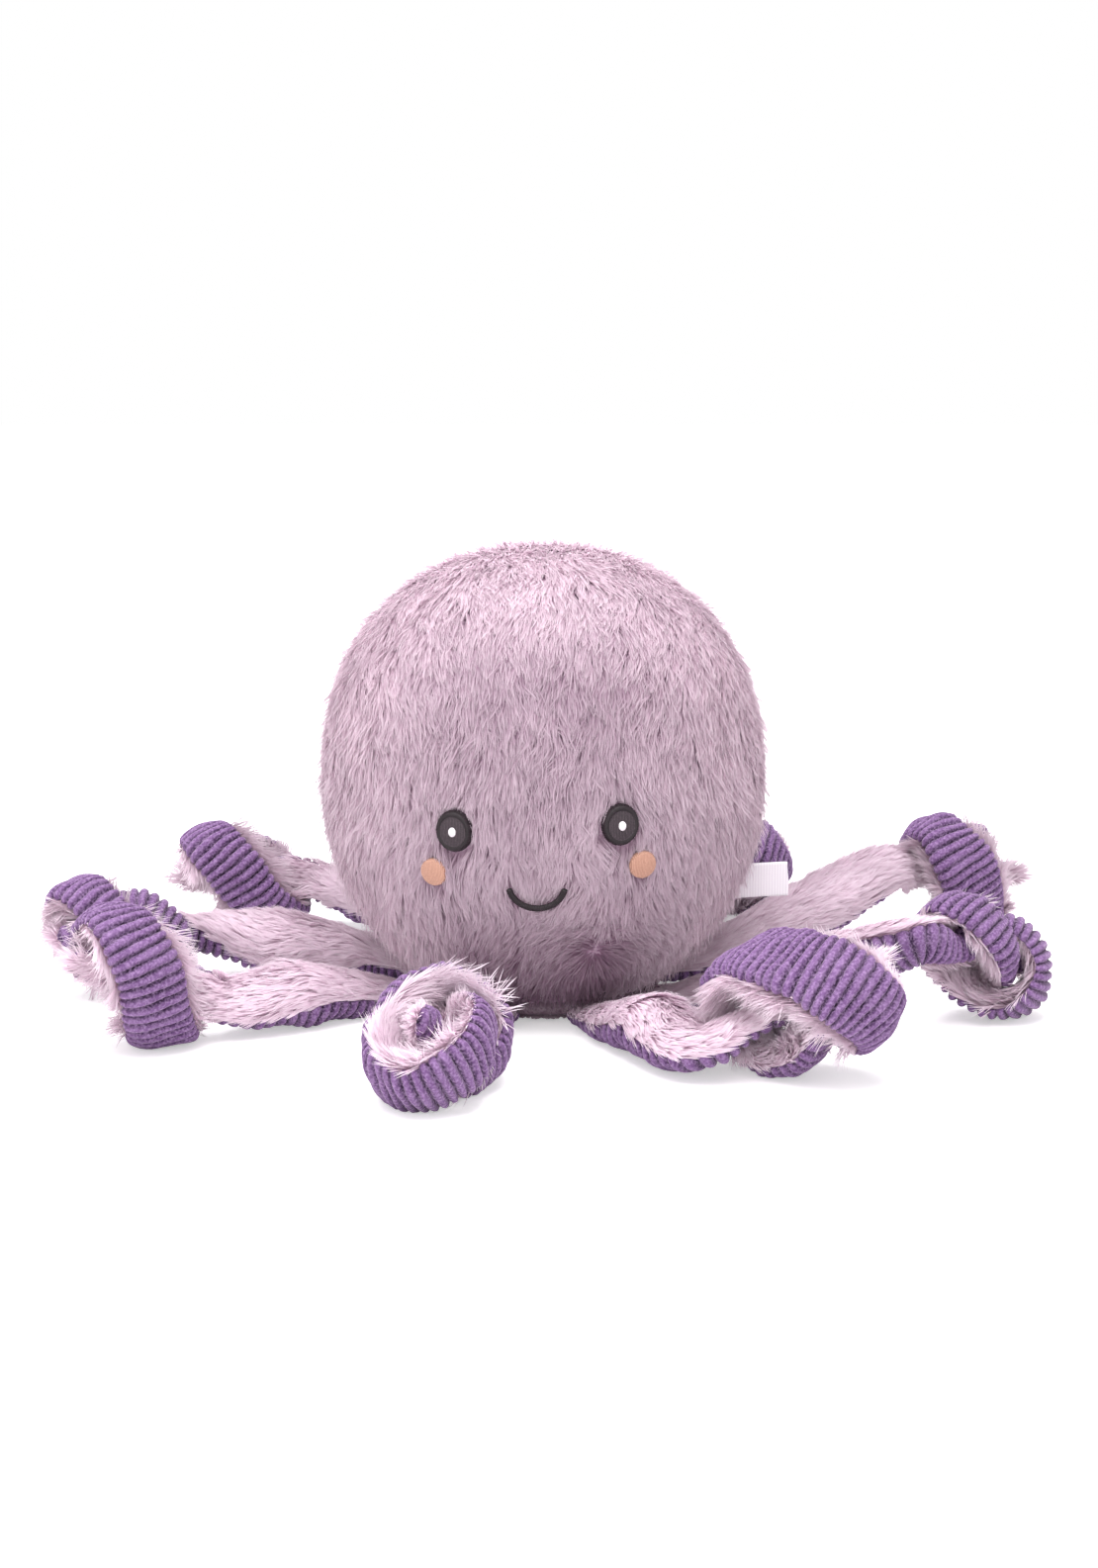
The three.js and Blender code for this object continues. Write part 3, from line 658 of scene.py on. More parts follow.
def azimuth_of(place):
    return np.degrees(np.arctan2(place[:, 0], -place[:, 1]))


print(f"head {2 * head_radius:.0f} mm wide, crown at {head_centre_height + crown_rise:.0f} mm")

# %% Sheet of a gore
GORE_ROWS, GORE_COLUMNS = 70, 48
CROWN_HOLE = 0.012
RIM_OVERRUN = 4
seam_dip, seam_dip_width = 0.9, 3.0


def gore_sheet(limits, inset):
    """Points of one gore from the crown down, with a dip along both seams."""
    lowest_lean = math.acos((head_floor - head_centre_height) / (crown_rise + RIM_OVERRUN))
    lean = np.linspace(CROWN_HOLE, lowest_lean, GORE_ROWS)
    height = np.maximum(head_centre_height + (crown_rise - inset) * np.cos(lean), head_floor)
    azimuth = np.linspace(*limits, GORE_COLUMNS)
    radius = head_radius_at(height, inset)[:, None]
    to_seam = np.radians(np.minimum(azimuth - limits[0], limits[1] - azimuth))[None, :] * radius
    radius = radius - seam_dip * np.exp(-(to_seam / seam_dip_width) ** 2)
    sheet = floor_direction(azimuth)[None, :, :] * radius[..., None]
    sheet[..., 2] = height[:, None]
    return sheet


print("gore sheets:", GORE_ROWS, "by", GORE_COLUMNS, "points")

# %% [markdown]
# ### Where the face is
# The stitched face lies in the pile. Each feature has a frame on the head's surface: to the viewer's right,
# up along the surface, and outward. The fur needs these frames first, because no strand may cross the
# stitching.

# %% Frames of the face
EYE_HALF, CHEEK_HALF = (6.0, 6.6), (4.5, 4.5)
MOUTH = {"width": 17.4, "drop": 7.1, "line": 2.1}
stitching_depth, stitching_thickness = 1.5, 2.5
slope_step = 8.0


def face_frame(node, rise=0.0):
    """A point on the pile over a stitched node, moved up it by rise, and the ways right, up and outward."""
    middle = np.mean(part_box(node), axis=0) / MM
    out = unit(middle * [1, 1, 0])
    above, below = (head_radius_at(middle[2] + step, 0) for step in (slope_step, -slope_step))
    up = unit(np.append(out[:2] * (above - below) / (2 * slope_step), 1.0))
    right = np.array([-out[1], out[0], 0.0])
    normal = unit(np.cross(right, up))
    place = middle + normal * (stitching_depth + stitching_thickness / 2) + up * rise
    return place, np.stack([right, up, normal])


features = {}
for side in ("left", "right"):
    features[f"{side}_eye"] = (face_frame(f"{side}_eye"), EYE_HALF)
    features[f"{side}_cheek"] = (face_frame(f"{side}_cheek"), CHEEK_HALF)
mouth_frame = face_frame("mouth", rise=MOUTH["drop"] / 2)
print("face frames:", list(features))

# %% [markdown]
# The smile is part of a circle. A strand counts as covering a feature where it lies over its outline, seen
# from straight in front. The pile leans a little over the cheeks, so they keep less room than the eyes do.

# %% Outlines of the face
CHEEK_OVERLAP = 0.9
ARC_POINTS = 25


def mouth_arc(share, spread=0.0):
    """Points on the smile, from corner to corner as share goes from -1 to 1, in the mouth's own frame."""
    radius = (MOUTH["width"] ** 2 / 4 + MOUTH["drop"] ** 2) / (2 * MOUTH["drop"])
    angle = share * math.asin(MOUTH["width"] / 2 / radius)
    across = (radius + spread) * np.sin(angle)
    up = radius - MOUTH["drop"] - (radius + spread) * np.cos(angle)
    return np.stack([across, up], -1)


def covered(points, margin):
    """True where a point lies over the stitching, with a margin around it."""
    over = np.zeros(points.shape[:-1], bool)
    for (place, axes), half in features.values():
        local = (points - place) @ axes.T
        reach = np.array(half) + margin - (CHEEK_OVERLAP if half is CHEEK_HALF else 0.0)
        ellipse = ((local[..., :2] / reach) ** 2).sum(-1)
        over |= (ellipse < 1) & (np.abs(local[..., 2]) < 2 * pile_depth)
    place, axes = mouth_frame
    local = (points - place) @ axes.T
    arc = mouth_arc(np.linspace(-1, 1, ARC_POINTS))
    gap = np.linalg.norm(local[..., None, :2] - arc, axis=-1).min(-1)
    return over | ((gap < MOUTH["line"] / 2 + margin) & (np.abs(local[..., 2]) < 2 * pile_depth))


print("outlines ready")

# %% [markdown]
# ### Fur of the head
# Strands whose root is under the stitching are dropped, and those that would fall over it are cut shorter, as
# a sewer trims them.

# %% Trimming around the stitching
KEEP_SHARES = (0.75, 0.5, 0.3)
ROOT_MARGIN, TIP_MARGIN = 0.2, -0.6


def trimmed(line):
    """Shorter strands where they would cross the stitching, and a mask of the strands that stay."""
    root = line[:, :1]
    stays = ~covered(line[:, 0], ROOT_MARGIN)
    best = line.copy()
    probes = np.concatenate([line[:, 1:], (line[:, 1:] + line[:, :-1]) / 2], 1)
    crossing = covered(probes, TIP_MARGIN).any(-1) & stays
    for share in KEEP_SHARES:
        clear = ~covered(root + (probes - root) * share, TIP_MARGIN).any(-1)
        take = crossing & clear
        best[take] = (root + (line - root) * share)[take]
        crossing &= ~clear
    return best, stays & ~crossing


print("trimming ready")

# %% [markdown]
# The pile is combed down from a whorl behind the crown. Under the smile it spreads out like a star, where the
# cloth is drawn in towards the base. On the crown the strands lie flat, and stray ones stand out of the rest.

# %% Combing the head
HEAD_STRANDS_PER_CM2 = 300
WHORL_ANGLE = math.radians(38)
CROWN_BLEND_SHARE = 0.5
WAVE_SHARE, WAVE_LENGTH = 0.15, 45
STAR_AZIMUTH, STAR_HEIGHT, STAR_REACH, STAR_STRENGTH = 17.0, 28.0, 24.0, 1.3
CROWN_CAP = 12


def gore_roots(sheet):
    """Roots over a gore, their normals pointing out of the head."""
    root = scatter(sheet, strands_over(sheet, HEAD_STRANDS_PER_CM2))
    place, normal = root["place"], root["normal"]
    outward = floor_direction(azimuth_of(place))
    normal = np.where((normal * outward).sum(-1, keepdims=True) < 0, -normal, normal)
    on_cap = place[:, 2] > head_centre_height + crown_rise - CROWN_CAP
    normal[:, 2] = np.where(on_cap, np.abs(normal[:, 2]), normal[:, 2])
    return {**root, "normal": normal}


def head_comb(root, crown_share):
    """The way that the pile is combed at each root."""
    place, normal, down = root["place"], root["normal"], root["along"]
    whorl = np.array([0.0, math.sin(WHORL_ANGLE), math.cos(WHORL_ANGLE)])
    comb = unit(across_the(normal, down)) * (1 - crown_share) - across_the(normal, whorl) * crown_share
    sideways = np.cross(normal, down)
    sideways *= np.sign((sideways * np.sign(place[:, :1]) * [1, 0, 0]).sum(-1, keepdims=True) + TINY)
    star = floor_direction(np.array(STAR_AZIMUTH)) * head_radius_at(STAR_HEIGHT, pile_depth)
    from_star = place - (star + np.array([0, 0, STAR_HEIGHT]))
    star_share = STAR_STRENGTH * np.exp(-((from_star ** 2).sum(-1) / STAR_REACH ** 2))[:, None]
    wave = WAVE_SHARE * ripple(place, WAVE_LENGTH, 3)[:, None]
    return comb + unit(from_star) * star_share + sideways * wave


print("combing ready")

# %% Fur of a gore
head_fur_length, head_fur_width = 8.8, 0.38
HEAD_PULL, HEAD_TUFT_SPACING, HEAD_TURN_SPREAD = 0.25, 1.9, 11
SIDE_LEAN, CROWN_LESS, STRAY_MORE = (30, 4), (22, 10), (22, 16)
CROWN_LIFT = 1.8
STRAY_SHARE, STRAY_CLEARANCE = 0.1, 8.0
# Painted shade in the fur's tone: by height, mostly darker towards the bottom of the head and none at the
# crown, and by azimuth, full at the front and fading to none round the sides.
PAINTED_SHADE_HEIGHTS, PAINTED_SHADE_LEVELS = (8, 30, 50, 73, 105, 120, 140), (0.86, 0.46, 0.24, 0.22, 0.32, 0.3, 0.0)
PAINTED_SHADE_AZIMUTHS, PAINTED_SHADE_SHARES = (20, 55), (1.0, 0.0)
MOTTLE_SHARE, MOTTLE_LENGTH = 0.05, 22


def head_pile_pieces(name, limits):
    """The fur of one gore, as one piece on each side of the face."""
    root = gore_roots(gore_sheet(limits, pile_depth))
    place, normal = root["place"], root["normal"]
    crown_share = np.clip((place[:, 2:] - head_centre_height) / (CROWN_BLEND_SHARE * crown_rise), 0, 1)
    comb = head_comb(root, crown_share)
    flat = crown_share[:, 0]
    root["place"] = place + normal * (CROWN_LIFT * crown_share)
    stray = (draws.random(len(place)) < STRAY_SHARE) & ~covered(place, STRAY_CLEARANCE)
    lean = [usual - less * flat + more * stray
            for usual, less, more in zip(SIDE_LEAN, CROWN_LESS, STRAY_MORE)]
    line, tone_and_shade = grow(root, comb, head_fur_length, lean, HEAD_PULL, HEAD_TUFT_SPACING, HEAD_TURN_SPREAD)
    # Painted shade, laid into the tone of each strand.
    painted_shade = np.interp(place[:, 2], PAINTED_SHADE_HEIGHTS, PAINTED_SHADE_LEVELS)
    painted_shade = painted_shade * np.interp(np.abs(azimuth_of(place)), PAINTED_SHADE_AZIMUTHS, PAINTED_SHADE_SHARES)
    tone_and_shade = np.clip(tone_and_shade + MOTTLE_SHARE * ripple(place, MOTTLE_LENGTH, 5) + painted_shade, 0, 1)
    if name == "front_panel":
        line, stays = trimmed(line)
        line, tone_and_shade, normal = line[stays], tone_and_shade[stays], normal[stays]
    on_right = line[:, 0, 0] > 0
    return [fur(f"{name}_pile_{side}", line[half], normal[half], tone_and_shade[half], head_fur_width, shaded_head_pile)
            for side, half in (("left", ~on_right), ("right", on_right)) if half.any()]


print("strands in a square centimetre:", HEAD_STRANDS_PER_CM2)

# %% All four gores
seam_gap = 0.15
backing_thickness = 1.2
for name, limits in GORES.items():
    sewn = (limits[0] + seam_gap, limits[1] - seam_gap)
    outer, inner = (gore_sheet(sewn, inset) for inset in (pile_depth, pile_depth + backing_thickness))
    points, quads = shell_of(outer[:, ::-1], inner[:, ::-1])
    cloth = mesh_piece(f"{name}_fabric", points, quads, shaded_head_backing)
    piles = head_pile_pieces(name, limits)
    for piece in (cloth, *piles):
        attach(piece, "head")
        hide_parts(name)
    print(name, "strands:", [len(pile.data.vertices) // POINTS_PER_STRAND for pile in piles])

# %% [markdown]
# ### Stitched eyes, cheeks and smile
# Each is satin stitch over a pad: a low dome of parallel threads. The eyes have a raised rim of stitches that
# run outward. The threads are real ridges, 0.5 mm apart, and leave a slightly ragged edge.

# %% Stitched discs
THREAD_PITCH, THREAD_RIDGE = 0.5, 0.09
RAGGED_SHARE, RAGGED_TEETH = 0.018, 47
DISC_RINGS, DISC_SPOKES = 40, 160
RIM_STARTS, EDGE_STARTS = 0.7, 0.93
dome_height, rim_height, edge_drop, pad_depth = 0.7, 0.45, 0.9, 2.0


def place_on(feature_frame, local):
    place, axes = feature_frame
    return place + local @ axes


def stitched_disc(name, feature_frame, half, level, materials):
    """A domed disc of satin stitch, with a rim if there are two materials. level is its edge's height."""
    rimmed = len(materials) > 1
    share = np.linspace(0.02, 1, DISC_RINGS)[:, None]
    turn = np.linspace(0, 2 * math.pi, DISC_SPOKES, endpoint=False)[None, :]
    ragged = 1 + RAGGED_SHARE * np.sin(turn * RAGGED_TEETH) * share ** 8
    across = half[0] * share * ragged * np.cos(turn)
    up = half[1] * share * ragged * np.sin(turn)
    straight = 0.5 + 0.5 * np.cos(2 * math.pi * across / THREAD_PITCH)
    spun = 0.5 + 0.5 * np.cos(turn * round(2 * math.pi * half[0] / THREAD_PITCH))
    on_rim = (share > RIM_STARTS) & rimmed
    thread = np.where(on_rim, spun, straight)
    rim = rim_height * np.sin(math.pi * np.clip((share - RIM_STARTS) / (1 - RIM_STARTS), 0, 1))
    edge = edge_drop * np.clip(share - EDGE_STARTS, 0, 1) / (1 - EDGE_STARTS)
    rise = level + dome_height * (1 - share ** 2) + np.where(on_rim, rim, 0) + THREAD_RIDGE * thread - edge
    rings = np.stack([across, up, rise], -1)
    foot = rings[-1:] * [1, 1, 0] + [0, 0, level - pad_depth]
    points, quads, caps = roll_of(np.concatenate([rings, foot]))
    thread = np.concatenate([thread.ravel(), np.zeros(DISC_SPOKES), [0.5, 0]])
    piece = mesh_piece(name, place_on(feature_frame, points), quads, materials[0], caps,
                       {"thread_height": thread})
    if rimmed:
        piece.data.materials.append(materials[1])
        faces = np.zeros(len(piece.data.polygons), np.int32)
        of_rim = np.repeat(share[:-1, 0] > RIM_STARTS, DISC_SPOKES)
        faces[:len(of_rim)] = of_rim
        piece.data.polygons.foreach_set("material_index", faces)
    return piece


print("disc stitching ready")

# %% Stitched smile
MOUTH_STEPS, MOUTH_SIDES = 220, 10
MOUTH_END_SHARE = 0.97
ARC_STRETCH = 1.25


def stitched_mouth(name, feature_frame, level):
    """The smile: a low rounded cord of satin stitch along the arc, its threads across it."""
    share = np.linspace(-1, 1, MOUTH_STEPS)
    past = ((np.abs(share) - MOUTH_END_SHARE) / (1 - MOUTH_END_SHARE)).clip(0, 1)
    end = np.sqrt(np.clip(1 - past ** 2, 0.02, 1))[:, None]
    thread = 0.5 + 0.5 * np.cos(share * math.pi * ARC_STRETCH * MOUTH["width"] / THREAD_PITCH)
    turn = np.linspace(0, 2 * math.pi, MOUTH_SIDES, endpoint=False)
    spread = MOUTH["line"] / 2 * (0.94 + 0.1 * thread[:, None]) * end * np.cos(turn)
    rise = (0.75 + 0.08 * thread[:, None]) * end * np.sin(turn)
    rings = np.concatenate([mouth_arc(share[:, None], spread), (level + rise)[..., None]], -1)
    points, quads, caps = roll_of(rings)
    thread = np.concatenate([np.repeat(thread, MOUTH_SIDES), [0.5, 0.5]])
    return mesh_piece(name, place_on(feature_frame, points), quads, rim_thread, caps,
                      {"thread_height": thread})


print("mouth stitching ready")

# %% The face
highlight_half = (1.25, 1.55)
EYE_LEVEL, HIGHLIGHT_LEVEL, CHEEK_LEVEL, MOUTH_LEVEL = -0.9, 0.05, -1.0, -0.6
face = []
for side in ("left", "right"):
    eye_frame, cheek_frame = features[f"{side}_eye"][0], features[f"{side}_cheek"][0]
    for part, part_frame, half, level, threads, slot in (
            ("eye", eye_frame, EYE_HALF, EYE_LEVEL, (charcoal_thread, rim_thread), "dark_thread"),
            ("eye_highlight", eye_frame, highlight_half, HIGHLIGHT_LEVEL, (white_thread,), "white_thread"),
            ("cheek", cheek_frame, CHEEK_HALF, CHEEK_LEVEL, (peach_thread,), "peach_thread")):
        node = f"{side}_{part}"
        face.append((stitched_disc(f"{node}_stitching", part_frame, half, level, threads), node, slot))
face.append((stitched_mouth("mouth_stitching", mouth_frame, MOUTH_LEVEL), "mouth", "dark_thread"))
for piece, node, slot in face:
    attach(piece, "head")
    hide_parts(node)
print("face stitched:", len(face), "pieces")

# %% [markdown]
# ### Filling, base and care label
# The filling is one lumpy mass of fibre that the cloth is stretched over. The base is a round panel of the
# same plush, pressed flat by the toy's weight. The care label is a folded ribbon, sewn into a side seam and
# left blank.

# %% Filling
fill_rows, fill_columns = 60, 90
fill_gap, floor_gap, FILLING_RAISE_SHARE = 1.0, 1.5, 0.2
LUMP_SHARE, LUMP_LENGTH = 0.012, 28
inset = pile_depth + backing_thickness + fill_gap
lean = np.linspace(0.02, math.pi - 0.02, fill_rows)
half_height = np.where(np.cos(lean) > 0, crown_rise - inset, head_centre_height - head_floor - floor_gap)
fill_height = head_centre_height + half_height * np.cos(lean)
fill_turn = np.linspace(0, 360, fill_columns, endpoint=False)
lump = floor_direction(fill_turn)[None] * head_radius_at(fill_height, inset)[:, None, None]
lump[..., 2] = fill_height[:, None]
lump *= 1 - LUMP_SHARE * (1 + ripple(lump, LUMP_LENGTH, 11))[..., None]
lump[..., 2] += head_floor * FILLING_RAISE_SHARE
points, quads, caps = roll_of(lump)
head_filling = mesh_piece("head_filling_fibre", points, quads, filling, caps)
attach(head_filling, "head")
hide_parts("head_filling")
print("head filled:", len(head_filling.data.polygons), "faces")

# %% Base panel
base_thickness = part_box("base_panel")[1][2] / MM
base_turn = np.linspace(0, 360, 97)
base_pile_depth, base_backing_thickness = 1.6, 0.8
BASE_PROFILE = np.array([
    [0.2, 0.0], [base_radius - 6, 0.0], [base_radius - 2.5, 0.6], [base_radius - 1.2, 2.2],
    [base_radius - 1.2, base_thickness - 1.5], [base_radius - 3, base_thickness - 0.6]])


def base_sheet(inset):
    reach = BASE_PROFILE[:, 0] - np.where(BASE_PROFILE[:, 0] > base_radius / 2, inset, 0)
    sheet = floor_direction(base_turn)[None] * reach[:, None, None]
    sheet[..., 2] = (base_pile_depth + np.maximum(BASE_PROFILE[:, 1], inset))[:, None]
    return sheet


sheet = base_sheet(0.0)
points, quads = shell_of(sheet, base_sheet(base_backing_thickness))
base = mesh_piece("base_panel_fabric", points, quads, shaded_head_backing)
print(f"base {2 * base_radius:.0f} mm wide")

# %% Fur of the base
BASE_STRANDS = 9000
base_fur_length, base_fur_width = 4.0, 0.5
BASE_LEAN, BASE_PULL, BASE_TUFT_SPACING, BASE_TURN_SPREAD = (25, 5), 0.4, 2.4, 12
# Painted shade on the fur under the base.
BASE_PAINTED_SHADE = 0.4
root = scatter(sheet, BASE_STRANDS)
root["area"] = math.pi * base_radius ** 2
root["normal"] = root["normal"] * np.where(root["normal"][:, 2:] > 0.2, -1.0, 1.0)
comb = unit(root["place"] * [1, 1, 0])
line, tone_and_shade = grow(root, comb, base_fur_length, BASE_LEAN, BASE_PULL, BASE_TUFT_SPACING, BASE_TURN_SPREAD)
# The fur under the base takes painted shade in its tone.
base_pile = fur("base_panel_pile", line, root["normal"], tone_and_shade + BASE_PAINTED_SHADE, base_fur_width, shaded_head_pile, 0.1)
for piece in (base, base_pile):
    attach(piece, "head")
    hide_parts("base_panel")
print("base strands:", len(line))

# %% Care label
label_height, label_bottom, label_reach, label_inside = 11.5, 30.0, 19.0, 4.0
ribbon_gap, ribbon_half_thickness = 0.45, 0.09
LABEL_STEPS, LABEL_ROWS = 40, 14
fold_curl, edge_wave = 1.1, 0.25
out = floor_direction(np.array(BACK_SEAM))
across = np.array([-out[1], out[0], 0.0])
surface = head_radius_at(label_bottom + label_height / 2, 0)
share = np.linspace(-1, 1, LABEL_STEPS)
reach = surface - label_inside + (label_reach + label_inside) * (1 - np.abs(share) ** 3)
curl = fold_curl * np.sin(np.clip(1 - np.abs(share), 0, 1) * 2.4)
offset = np.sign(share) * ribbon_gap * np.minimum(np.abs(share) * 6, 1) + curl
rows = np.linspace(0, 1, LABEL_ROWS)
loop = np.repeat((out * reach[:, None] + across * offset[:, None])[:, None, :], LABEL_ROWS, 1)
loop[..., 2] = label_bottom + label_height * rows[None, :]
loop[..., 0] += edge_wave * np.sin(rows * 5)[None, :]
facing = unit(np.gradient(loop[:, 0], axis=0))
thick = np.cross(facing, [0, 0, 1])[:, None, :] * ribbon_half_thickness
points, quads = shell_of(loop + thick, loop - thick)
label = mesh_piece("care_label_ribbon", points, quads, ribbon)
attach(label, "head")
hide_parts("care_label")
print("label ready")

# %% [markdown]
# ## Arms
# Each arm leaves its root seam under the head, runs out over the floor as a strap, and is tied in an overhand
# knot. The knot's centre line is half a list of given places and its copy turned by half a turn. The frame's
# solids follow the same route. Here the straps are a little plumper and turn over nearer to their knots, as in
# the photograph.

# %% Sizes of the arm: half the width, the plush side and the corduroy side
ARM_REACH = 185.0
ROOT = {"radius": 3.0, "half_width": 7.0, "height": 3.6, "lead": 20.0}
STRAP = (12.0, 12.0, 8.5)
KNOT = (11.5, 5.2, 4.2)
TIP = (3.2, 3.0, 2.4)
ROOT_SIZE = (ROOT["half_width"], ROOT["radius"], ROOT["radius"])
FLOOR_GAP = 0.3
TAIL_LENGTH, ENTRY_LENGTH = 9.0, 16.0
ENTRY_TURN_SHARE, MIDDLE_TURN_SHARE = 0.4, 0.1
ENTRY_WIDENING_SHARE, MIDDLE_LIFT_SHARE = 0.35, 0.3
print(f"arms reach up to {ARM_REACH:.0f} mm")

# %% How each arm lies
ARM_SETTINGS = ("azimuth", "reach", "roll", "tilt", "turn", "strap_roll", "size", "lift")
ARMS = {name: dict(zip(ARM_SETTINGS, values)) for name, *values in (
    ("front_left", -15.3, 0.655, 80, 25, 0, 0, 1.0, 0.5),
    ("left", -61.5, 0.775, 250, 20, 0, 5, 0.9, 0.5),
    ("rear_left", -87.5, 0.765, 120, 10, 30, -30, 0.85, 1.0),
    ("back_left", -130.0, 0.757, 265, 0, 35, 0, 0.82, 0.5),
    ("back_right", 149.0, 0.66, 45, 0, 0, 0, 1.0, 0.5),
    ("rear_right", 118.7, 0.92, 130, -10, 0, 0, 0.92, 1.0),
    ("right", 76.8, 0.79, 225, -20, 50, -70, 0.82, 1.0),
    ("front_right", 38.0, 0.686, 15, 25, 45, -15, 1.05, 0.5),
)}
MIRRORED = ("rear_left", "right")
print("arms:", list(ARMS))

# %% [markdown]
# Half of the knot, from its middle to its tail: where the arm lies, which way its corduroy faces, and how
# wide it is there, as shares of the knot's half size and of the arm's width in the knot.

# %% Half a knot
KNOT_HALF = np.array([18.0, 17.4, 15.0])
KNOT_HALF_SHARES = [
    ((0, 0, 1), (0, 0, 1), 1),
    ((-0.36, 0.52, 0.93), (-0.1, 0.4, 0.9), 1),
    ((-0.8, 0.95, 0.45), (-0.2, 0.75, 0.6), 1),
    ((-1, 0.97, -0.25), (-0.35, 0.93, -0.2), 0.9),
    ((-0.95, 0.52, -0.84), (-0.5, 0.45, -0.75), 0.8),
    ((-0.64, -0.02, -1), (-0.25, -0.1, -1), 0.72),
    ((-0.2, -0.44, -0.8), (0.15, -0.5, -0.85), 0.62),
    ((0.18, -0.48, -0.36), (0.4, -0.5, -0.75), 0.58),
    ((0.55, -0.14, 0.02), (0.2, -0.2, -0.95), 0.52),
    ((1, 0.06, 0.02), (0, 0, -1), 0.46),
]
HALF_TURN = np.array([-1, -1, 1])
print("points in a knot:", 2 * len(KNOT_HALF_SHARES) - 1)

# %% Curves through points


def turned_about(vectors, axis, degrees):
    """Vectors turned about a unit axis, by the right-hand rule."""
    angle = math.radians(degrees)
    axis = np.asarray(axis, float)
    along = (vectors @ axis)[..., None] * axis
    turned = vectors * math.cos(angle) + np.cross(axis, vectors) * math.sin(angle)
    return turned + along * (1 - math.cos(angle))


def through(points, stops, centripetal):
    """A smooth curve through the points, read at stops counted in points."""
    last = len(points) - 1
    before = np.minimum(np.floor(stops).astype(int), last - 1)
    share = (stops - before)[:, None]
    padded = np.concatenate([[2 * points[0] - points[1]], points, [2 * points[-1] - points[-2]]])
    p0, p1, p2, p3 = (padded[before + offset] for offset in range(4))
    if centripetal:
        d0, d1, d2 = (np.linalg.norm(b - a, axis=-1, keepdims=True) ** 0.5
                      for a, b in ((p0, p1), (p1, p2), (p2, p3)))
        start = ((p1 - p0) / d0 - (p2 - p0) / (d0 + d1) + (p2 - p1) / d1) * d1
        end = ((p2 - p1) / d1 - (p3 - p1) / (d1 + d2) + (p3 - p2) / d2) * d1
    else:
        start, end = (p2 - p0) / 2, (p3 - p1) / 2
    square, cube = share ** 2, share ** 3
    return ((2 * cube - 3 * square + 1) * p1 + (cube - 2 * square + share) * start
            + (3 * square - 2 * cube) * p2 + (cube - square) * end)


print("curves ready")

# %% [markdown]
# The route gives, for a few hundred stations along the arm, where the middle of the tube lies, which way it
# runs, which way its plush faces, and how wide and how thick the tube is. Stations are evenly spaced, because
# the ribs of the corduroy are.

# %% Points of an arm's route
UPRIGHT = np.array([0.0, 0.0, 1.0])
AHEAD = np.array([1.0, 0.0, 0.0])


def root_of(name):
    """Where the arm's joint lies, in millimetres, and the level direction out of the head there."""
    joint = next(j for j in frame["record"]["behaviour"]["joints"] if j["child"] == f"{name}_arm")
    root = np.array(joint["pos_m"]) / MM
    return root, unit(root * [1, 1, 0])


def route_points(name, knot_middle):
    """The route's few points: places, the way that the corduroy faces, and sizes."""
    arm = ARMS[name]
    root, radial = root_of(name)
    knot = floor_direction(np.array(arm["azimuth"])) * ARM_REACH * arm["reach"]
    knot[2] = knot_middle
    heading = unit((knot - root) * [1, 1, 0])
    knot_heading = turned_about(heading, UPRIGHT, arm["turn"])
    basis = np.stack([knot_heading, np.cross(UPRIGHT, knot_heading), UPRIGHT])
    flip = np.array([1, -1, 1]) if name in MIRRORED else np.ones(3)

    def posed(vector):
        rolled = turned_about(vector * flip, [1, 0, 0], arm["roll"])
        return turned_about(rolled, [0, 1, 0], -arm["tilt"]) @ basis

    half = [(np.array(place) * KNOT_HALF * arm["size"], unit(np.array(facing, float)), width_share)
            for place, facing, width_share in KNOT_HALF_SHARES]
    other = [(p * HALF_TURN, f * HALF_TURN, w) for p, f, w in half[1:]][::-1]
    line = [(posed(place) + knot, posed(facing), np.array((KNOT[0] * width_share, *KNOT[1:])) * arm["size"])
            for place, facing, width_share in other + half]
    way_in = turned_about(AHEAD, [0, 1, 0], -arm["tilt"]) @ basis
    strap_height = FLOOR_GAP + STRAP[2]
    entry, leaving = line[0], line[-1]
    lead = root + radial * ROOT["lead"]
    lead[2] = (ROOT["height"] + strap_height) / 2
    strap_end = entry[0] - way_in * ENTRY_LENGTH
    climb = max(strap_end[2] - strap_height, 0) * arm["lift"]
    strap_end[2] = strap_height + climb
    middle = (lead + strap_end) / 2
    middle[2] = strap_height + climb * MIDDLE_LIFT_SHARE

    def leaned(share, angle):
        return turned_about(unit(entry[1] * share - UPRIGHT * (1 - share)), heading, angle)

    lead_size = (np.array(ROOT_SIZE) + STRAP) / 2
    end_size = entry[2] * (1 - ENTRY_WIDENING_SHARE) + np.array(STRAP) * ENTRY_WIDENING_SHARE
    start = [(root - radial * ROOT["radius"], -UPRIGHT, ROOT_SIZE), (root, -UPRIGHT, ROOT_SIZE),
             (lead, -UPRIGHT, lead_size), (middle, leaned(MIDDLE_TURN_SHARE, arm["strap_roll"]), STRAP),
             (strap_end, leaned(ENTRY_TURN_SHARE, arm["strap_roll"] / 2), end_size)]
    tip = (leaving[0] + way_in * TAIL_LENGTH, leaving[1], TIP)
    places, facings, sizes = (np.array(column) for column in zip(*(start + line + [tip])))
    return places, facings, sizes, radial, len(start)


print("route points ready")

# %% Stations along an arm
CREST_SHARE = 0.6
STOP_NUDGE = 1e-3
KNOT_READINGS, ROUTE_READINGS = 200, 3000


